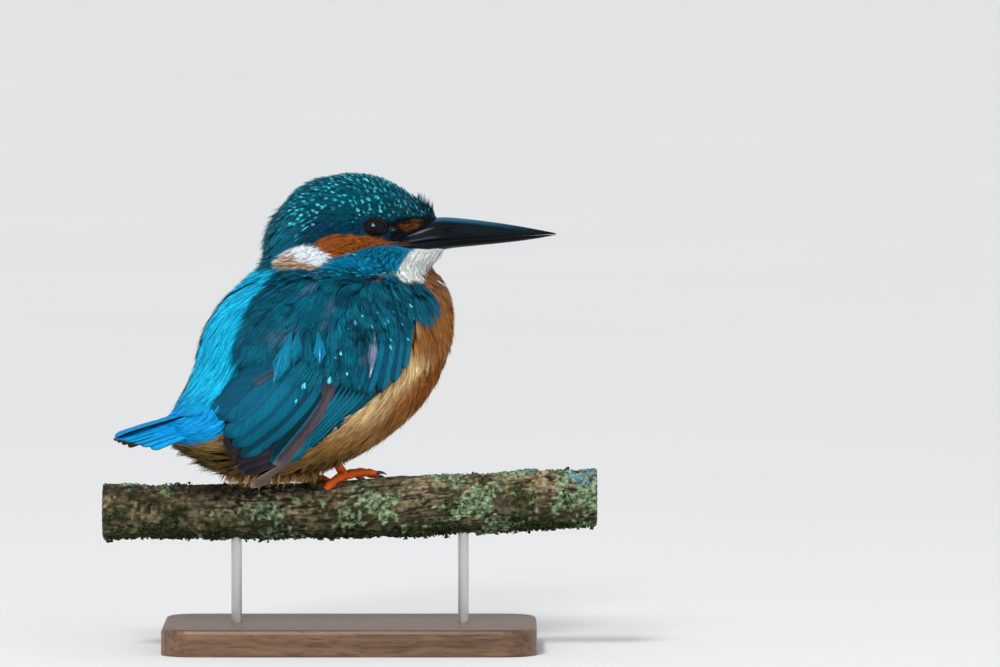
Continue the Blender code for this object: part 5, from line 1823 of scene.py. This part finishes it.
def bark_relief():
    """How far the bark stands out from the plain branch: little where the feet grip it."""
    relief = 1.0 * (plates - 0.5) + 0.7 * (long_grain - 0.5) - 0.5 * crack + 0.4 * (crumbs - 0.5)
    relief = relief + lichen * (0.1 + 0.8 * (crumbs - 0.4)) + moss * (0.1 + 0.6 * (crumbs - 0.4))
    relief = relief + blue_lichen * 0.2
    scars = 0
    for x, turn, size in SCARS:
        away = np.hypot(along_x - x, thick * (np.mod(turned - turn + math.pi, TURN) - math.pi)) / size
        scars = scars + 0.8 * np.exp(-((away - 0.55) ** 2) * 9) - 0.5 * np.exp(-(away**2) * 9)
    relief = relief + scars
    feet_here = np.exp(-(((along_x - GRIP_X) / 19) ** 4)) * ramp(facing_up, -0.6, 0.1)
    return np.where(relief > -0.02, mix(relief, np.minimum(relief, 0.05), feet_here), relief)


def bark_rings():
    reach = thick + np.clip(bark_relief(), -1.2, 1.2) - 0.1
    rim = np.minimum(1, (HALF - np.abs(along_x)) / 0.7)
    reach = reach - 0.45 * (1 - np.sqrt(np.clip(rim, 0, 1)))
    return np.stack([along_x, reach * np.sin(turned), branch_middle(along_x) + reach * facing_up], -1)


def bark_tone():
    tone = over(srgb(66, 58, 38), srgb(132, 120, 92), ramp(plates + 0.5 * (crumbs - 0.5), 0.3, 0.72))
    tone = over(tone, srgb(100, 88, 70), ramp(fractal(bark_at, 14.0, 141), 0.45, 0.65) * 0.6)
    # the underside darker and greener: partly painted shade, partly the green of damp bark
    low_side = ramp(-facing_up + 0.6 * (fractal(bark_at, 5.0, 143) - 0.5), -0.15, 0.35)
    tone = over(tone, srgb(48, 52, 32), 0.6 * low_side)
    tone = over(tone, srgb(20, 18, 12), 0.9 * crack)
    tone = over(tone, srgb(44, 56, 28), 0.8 * moss)
    tone = over(tone, over(srgb(70, 96, 66), srgb(132, 152, 118), ramp(crumbs, 0.3, 0.7)), 0.8 * lichen)
    tone = over(tone, srgb(118, 164, 172), 0.8 * blue_lichen)
    # painted shade: the top of the branch's left half darker, in blotches
    blotches = ramp(facing_up, 0.55, 0.95) * ramp(-along_x, -8, 6) * ramp(fractal(bark_at, 4.0, 147), 0.3, 0.6)
    tone = over(tone, srgb(26, 26, 24), 0.75 * blotches)
    return tone * (0.45 + 1.0 * ramp(crumbs, 0.2, 0.8))[..., None]


def end_disc(end, ring, k):
    """One ring of the sawn face, from the bark to the pith, and its colours."""
    share = k / END_STEPS
    centre = np.array((end * HALF, 0.4, branch_middle(end * HALF) - 0.3))
    disc = ring + (centre - ring) * share
    saw = 0.05 * np.sin(disc[:, 2] * 3.1 + 0.6 * np.sin(disc[:, 1])) + 0.05 * (fractal(disc, 0.8, 151) - 0.5)
    disc[:, 0] = end * (HALF + 0.12 * min(1, k / 2)) + end * saw
    if k == END_STEPS:
        disc = disc.mean(0)[None]
    year_rings = ramp(np.sin((1 - share) * 42 + 2 * fractal(disc, 5, 153)), -0.3, 0.9)
    wood = over(srgb(176, 148, 104), srgb(140, 108, 70), year_rings)
    wood = wood * (0.75 + 0.4 * fractal(disc, 1.0, 155))[:, None]
    wood = mix(wood, srgb(70, 56, 38), float(k == 1))
    return disc, mix(wood, srgb(60, 44, 30), math.exp(-((share - 1) / 0.05) ** 2))


def make_branch(rings, finish):
    points, tones = [rings.reshape(-1, 3)], [bark_tone().reshape(-1, 3)]
    tris = [grid_faces(ROWS, AROUND, wrap=True)]
    count = ROWS * AROUND
    j = np.arange(AROUND)
    k_next = (j + 1) % AROUND
    for end, ring in ((-1, rings[0]), (1, rings[-1])):
        previous = j + ((ROWS - 1) * AROUND if end > 0 else 0)
        for k in range(1, END_STEPS + 1):
            disc, wood = end_disc(end, ring, k)
            fresh = np.arange(len(disc)) + count
            inner = fresh if k < END_STEPS else np.full(AROUND, fresh[0])
            faces = np.stack([previous, inner, previous[k_next]], -1)
            if k < END_STEPS:
                away = np.stack([previous, fresh[k_next], previous[k_next]], -1)
                faces = np.vstack([np.stack([previous, fresh, fresh[k_next]], -1), away])
            tris.append(faces if end > 0 else faces[:, ::-1])
            points.append(disc)
            tones.append(wood)
            previous = fresh
            count += len(disc)
    tints = np.vstack(tones)
    make_piece("perch", np.vstack(points), np.vstack(tris), finish, "bark", "branch", tints=tints)


def bark_finish():
    f = Finish("bark", Specular_IOR_Level=0.2)
    tint = f.attribute("tint")
    grain = f.noise(1.0, 5.0, 0.65, f.stretched(f.place(), 350.0, 1300.0, 1300.0))
    grit = f.noise(3200.0, 3.0, 0.7)
    lit = f.blend(f.span(grain, 0.25, 0.75), (0.6, 0.58, 0.56), (1.35, 1.35, 1.33))
    lit = f.dyed(lit, f.span(grit, 0.3, 0.7), 0.75, 1.25)
    colour = f.blend(1.0, tint, lit, "MULTIPLY")
    return f.done(colour, f.span(grit, 0.3, 0.7, 0.78, 0.95), f.plus(grain, f.times(grit, 0.5)), 0.8, 0.0003)


BARK_RINGS, BARK = bark_rings(), bark_finish()
make_branch(BARK_RINGS, BARK)


def leaflets(name, number, keep, size, tones, stand, sides=7):
    """Small cupped plates or lobes on the bark, as many as keep allows at each place."""
    x, turn = rng.uniform(-73, 73, number), rng.uniform(0, TURN, number)
    i = np.clip(np.round((x + HALF) / (2 * HALF) * (ROWS - 1)).astype(int), 0, ROWS - 1)
    j = np.round(np.mod(turn, TURN) / TURN * AROUND).astype(int) % AROUND
    good = rng.random(number) < keep[i, j]
    i, j = i[good], j[good]
    at, count = BARK_RINGS[i, j], len(i)
    out = np.stack([np.zeros(count), np.sin(bark_turn[j]), np.cos(bark_turn[j])], -1)
    across = unit(np.cross(out, rng.normal(0, 1, (count, 3))))
    other = np.cross(out, across)
    out = unit(out + rng.normal(0, 0.35, (count, 3)))
    big = varied(size, count, 0.35)
    a = circle(sides)
    wobble = rng.uniform(0.55, 1.15, (count, sides))
    rim = np.cos(a)[None, :, None] * across[:, None] + np.sin(a)[None, :, None] * other[:, None]
    rim = at[:, None] + rim * (big[:, None] * wobble)[..., None]
    rim = rim + out[:, None] * (stand * big[:, None] * rng.uniform(0.5, 1.3, (count, sides)))[..., None]
    middle, foot = at + out * (stand * 0.25 * big)[:, None], at - out * 0.25
    points = np.concatenate([rim, middle[:, None], foot[:, None]], 1).reshape(-1, 3)
    k = np.arange(sides)
    k_next = (k + 1) % sides
    cup = np.stack([k, k_next, np.full(sides, sides)], -1)
    base = np.stack([k_next, k, np.full(sides, sides + 1)], -1)
    tone = np.array(tones)[rng.integers(0, len(tones), count)] * np.exp(rng.normal(0, 0.15, (count, 1)))
    # painted light and shade: each plate's rim lighter, its middle and underside darker
    shade = np.array([1.1] * sides + [0.8, 0.4])
    tris = copied(np.vstack([cup, base]), count, sides + 2)
    tints = (tone[:, None] * shade[:, None]).reshape(-1, 3)
    make_piece(name, points, tris, BARK, "bark", tints=tints)


off_feet = 1 - np.exp(-(((along_x - GRIP_X) / 17) ** 4)) * ramp(facing_up, -0.75, -0.2)
leaflets("lichen_grey", 15000, lichen * off_feet * 0.6, 0.36,
         (srgb(96, 122, 90), srgb(134, 152, 122), srgb(70, 92, 62)), 0.5)
leaflets("lichen_blue", 14000, blue_lichen * off_feet * 0.8, 0.4,
         (srgb(122, 172, 184), srgb(98, 146, 146)), 0.5)
leaflets("moss", 16000, moss * off_feet * 0.6, 0.36,
         (srgb(54, 66, 30), srgb(38, 46, 22), srgb(78, 88, 46)), 1.2, sides=5)


# ---- stand -------------------------------------------------------------------------------------------------


def wood_finish():
    f = Finish("stand_oak", Specular_IOR_Level=0.4, Coat_Weight=0.15, Coat_Roughness=0.3)
    place = f.place()
    drift = f.noise(18.0, 3.0)
    x, y, z = f.add("SeparateXYZ", {0: place}).outputs
    y = f.times(f.plus(y, f.times(drift, 0.02)), 420.0)
    z = f.times(f.plus(z, f.times(drift, 0.012)), 420.0)
    grain = f.noise(1.0, 5.0, 0.62, f.vector(f.times(x, 9.0), y, z))
    pores = f.noise(1.0, 2.0, 0.5, f.stretched(place, 160.0, 2600.0, 2600.0))
    body = f.blend(f.span(grain, 0.3, 0.7), (0.07, 0.035, 0.018), (0.19, 0.10, 0.052))
    colour = f.dyed(body, f.span(pores, 0.28, 0.45), (0.5, 0.48, 0.46), 1.05)
    return f.done(colour, f.span(grain, 0.3, 0.7, 0.36, 0.5), f.plus(f.times(grain, 0.5), pores), 0.3, 0.0001)


def steel_finish():
    f = Finish("stand_steel_done", Metallic=1.0)
    lines = f.noise(1.0, 4.0, 0.6, f.stretched(f.place(), 700.0, 700.0, 9000.0))
    smear = f.noise(120.0, 3.0)
    colour = f.blend(lines, (0.52, 0.52, 0.51), (0.68, 0.67, 0.65))
    rough = f.plus(f.span(lines, 0.3, 0.7, 0.24, 0.36), f.span(smear, 0.3, 0.7, 0.0, 0.1))
    return f.done(colour, rough, lines, 0.2, 0.00003)


oak, steel = wood_finish(), steel_finish()
for node, finish in (("stand_base", oak), ("stand_rod_left", steel), ("stand_rod_right", steel)):
    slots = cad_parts[node].data.materials
    slots.clear()
    slots.append(finish)


# ---- stage, light and camera -------------------------------------------------------------------------------


def placed(name, data, back, place=None):
    """A new light or camera that looks away from back."""
    obj = bpy.data.objects.new(name, data)
    bpy.context.collection.objects.link(obj)
    if place is not None:
        obj.location = place
    obj.rotation_mode = "QUATERNION"
    obj.rotation_quaternion = back.to_track_quat("Z", "Y")
    return obj


def make_stage(size=14000.0, around=96):
    """A pale round floor, just under the stand."""
    a, j = circle(around), np.arange(around)
    edge = np.column_stack([size * np.cos(a), size * np.sin(a), np.full(around, -0.05)])
    tris = np.stack([np.zeros(around, int), 1 + j, 1 + (j + 1) % around], -1)
    floor = make_mesh("floor", np.vstack([[0, 0, -0.05], edge]), tris)
    f = Finish("floor_pale", Roughness=0.85, Specular_IOR_Level=0.15)
    colour = f.blend(f.noise(3.0, 2.0), (0.72, 0.72, 0.715), (0.75, 0.75, 0.745))
    floor.data.materials.append(f.done(colour, None))


def sun(name, direction, strength, angle, colour):
    light = bpy.data.lights.new(name, "SUN")
    light.energy, light.angle, light.color = strength, math.radians(angle), colour
    placed(name, light, Vector(direction))


def softbox(name, place, size, power, colour):
    """A square light that faces the bird's middle."""
    light = bpy.data.lights.new(name, "AREA")
    light.shape, light.size, light.energy, light.color = "SQUARE", size, power, colour
    return placed(name, light, Vector(place) - Vector((0.0, 0.0, 0.12)), place)


def make_light():
    world = bpy.data.worlds.new("studio")
    bpy.context.scene.world = world
    world.use_nodes = True
    back = world.node_tree.nodes["Background"]
    back.inputs["Color"].default_value = (0.93, 0.96, 1.0, 1)
    back.inputs["Strength"].default_value = 0.62
    sun("key", (-0.35, -0.75, 1.0), 1.68, 14, (1.0, 0.98, 0.95))
    sun("fill", (0.9, -0.8, 0.55), 0.5, 60, (0.95, 0.97, 1.0))
    softbox("catch", (-0.2, -1.0, 0.72), 0.2, 4.4, (0.92, 0.97, 1.0))
    # a wide, weak box that only the eyes mirror
    wide = softbox("eye_box", (-0.3, -1.0, 0.66), 0.62, 60.0, (0.72, 0.86, 1.0))
    wide.light_linking.receiver_collection = bpy.data.collections.new("eyes_only")
    for name in ("eyeball_right", "eyeball_left"):
        wide.light_linking.receiver_collection.objects.link(bpy.data.objects[name])


def make_camera():
    data = bpy.data.cameras.new("camera")
    data.lens, data.sensor_width, data.clip_start, data.clip_end = 360, 36, 0.05, 60
    aim, tilt, distance = Vector((0.045, 0.004, 0.0944)), math.radians(3), 3.0
    back = Vector((0, -math.cos(tilt), math.sin(tilt)))
    bpy.context.scene.camera = placed("camera", data, back, aim + back * distance)


make_stage()
make_light()
make_camera()
bpy.context.scene.view_settings.view_transform = "Standard"
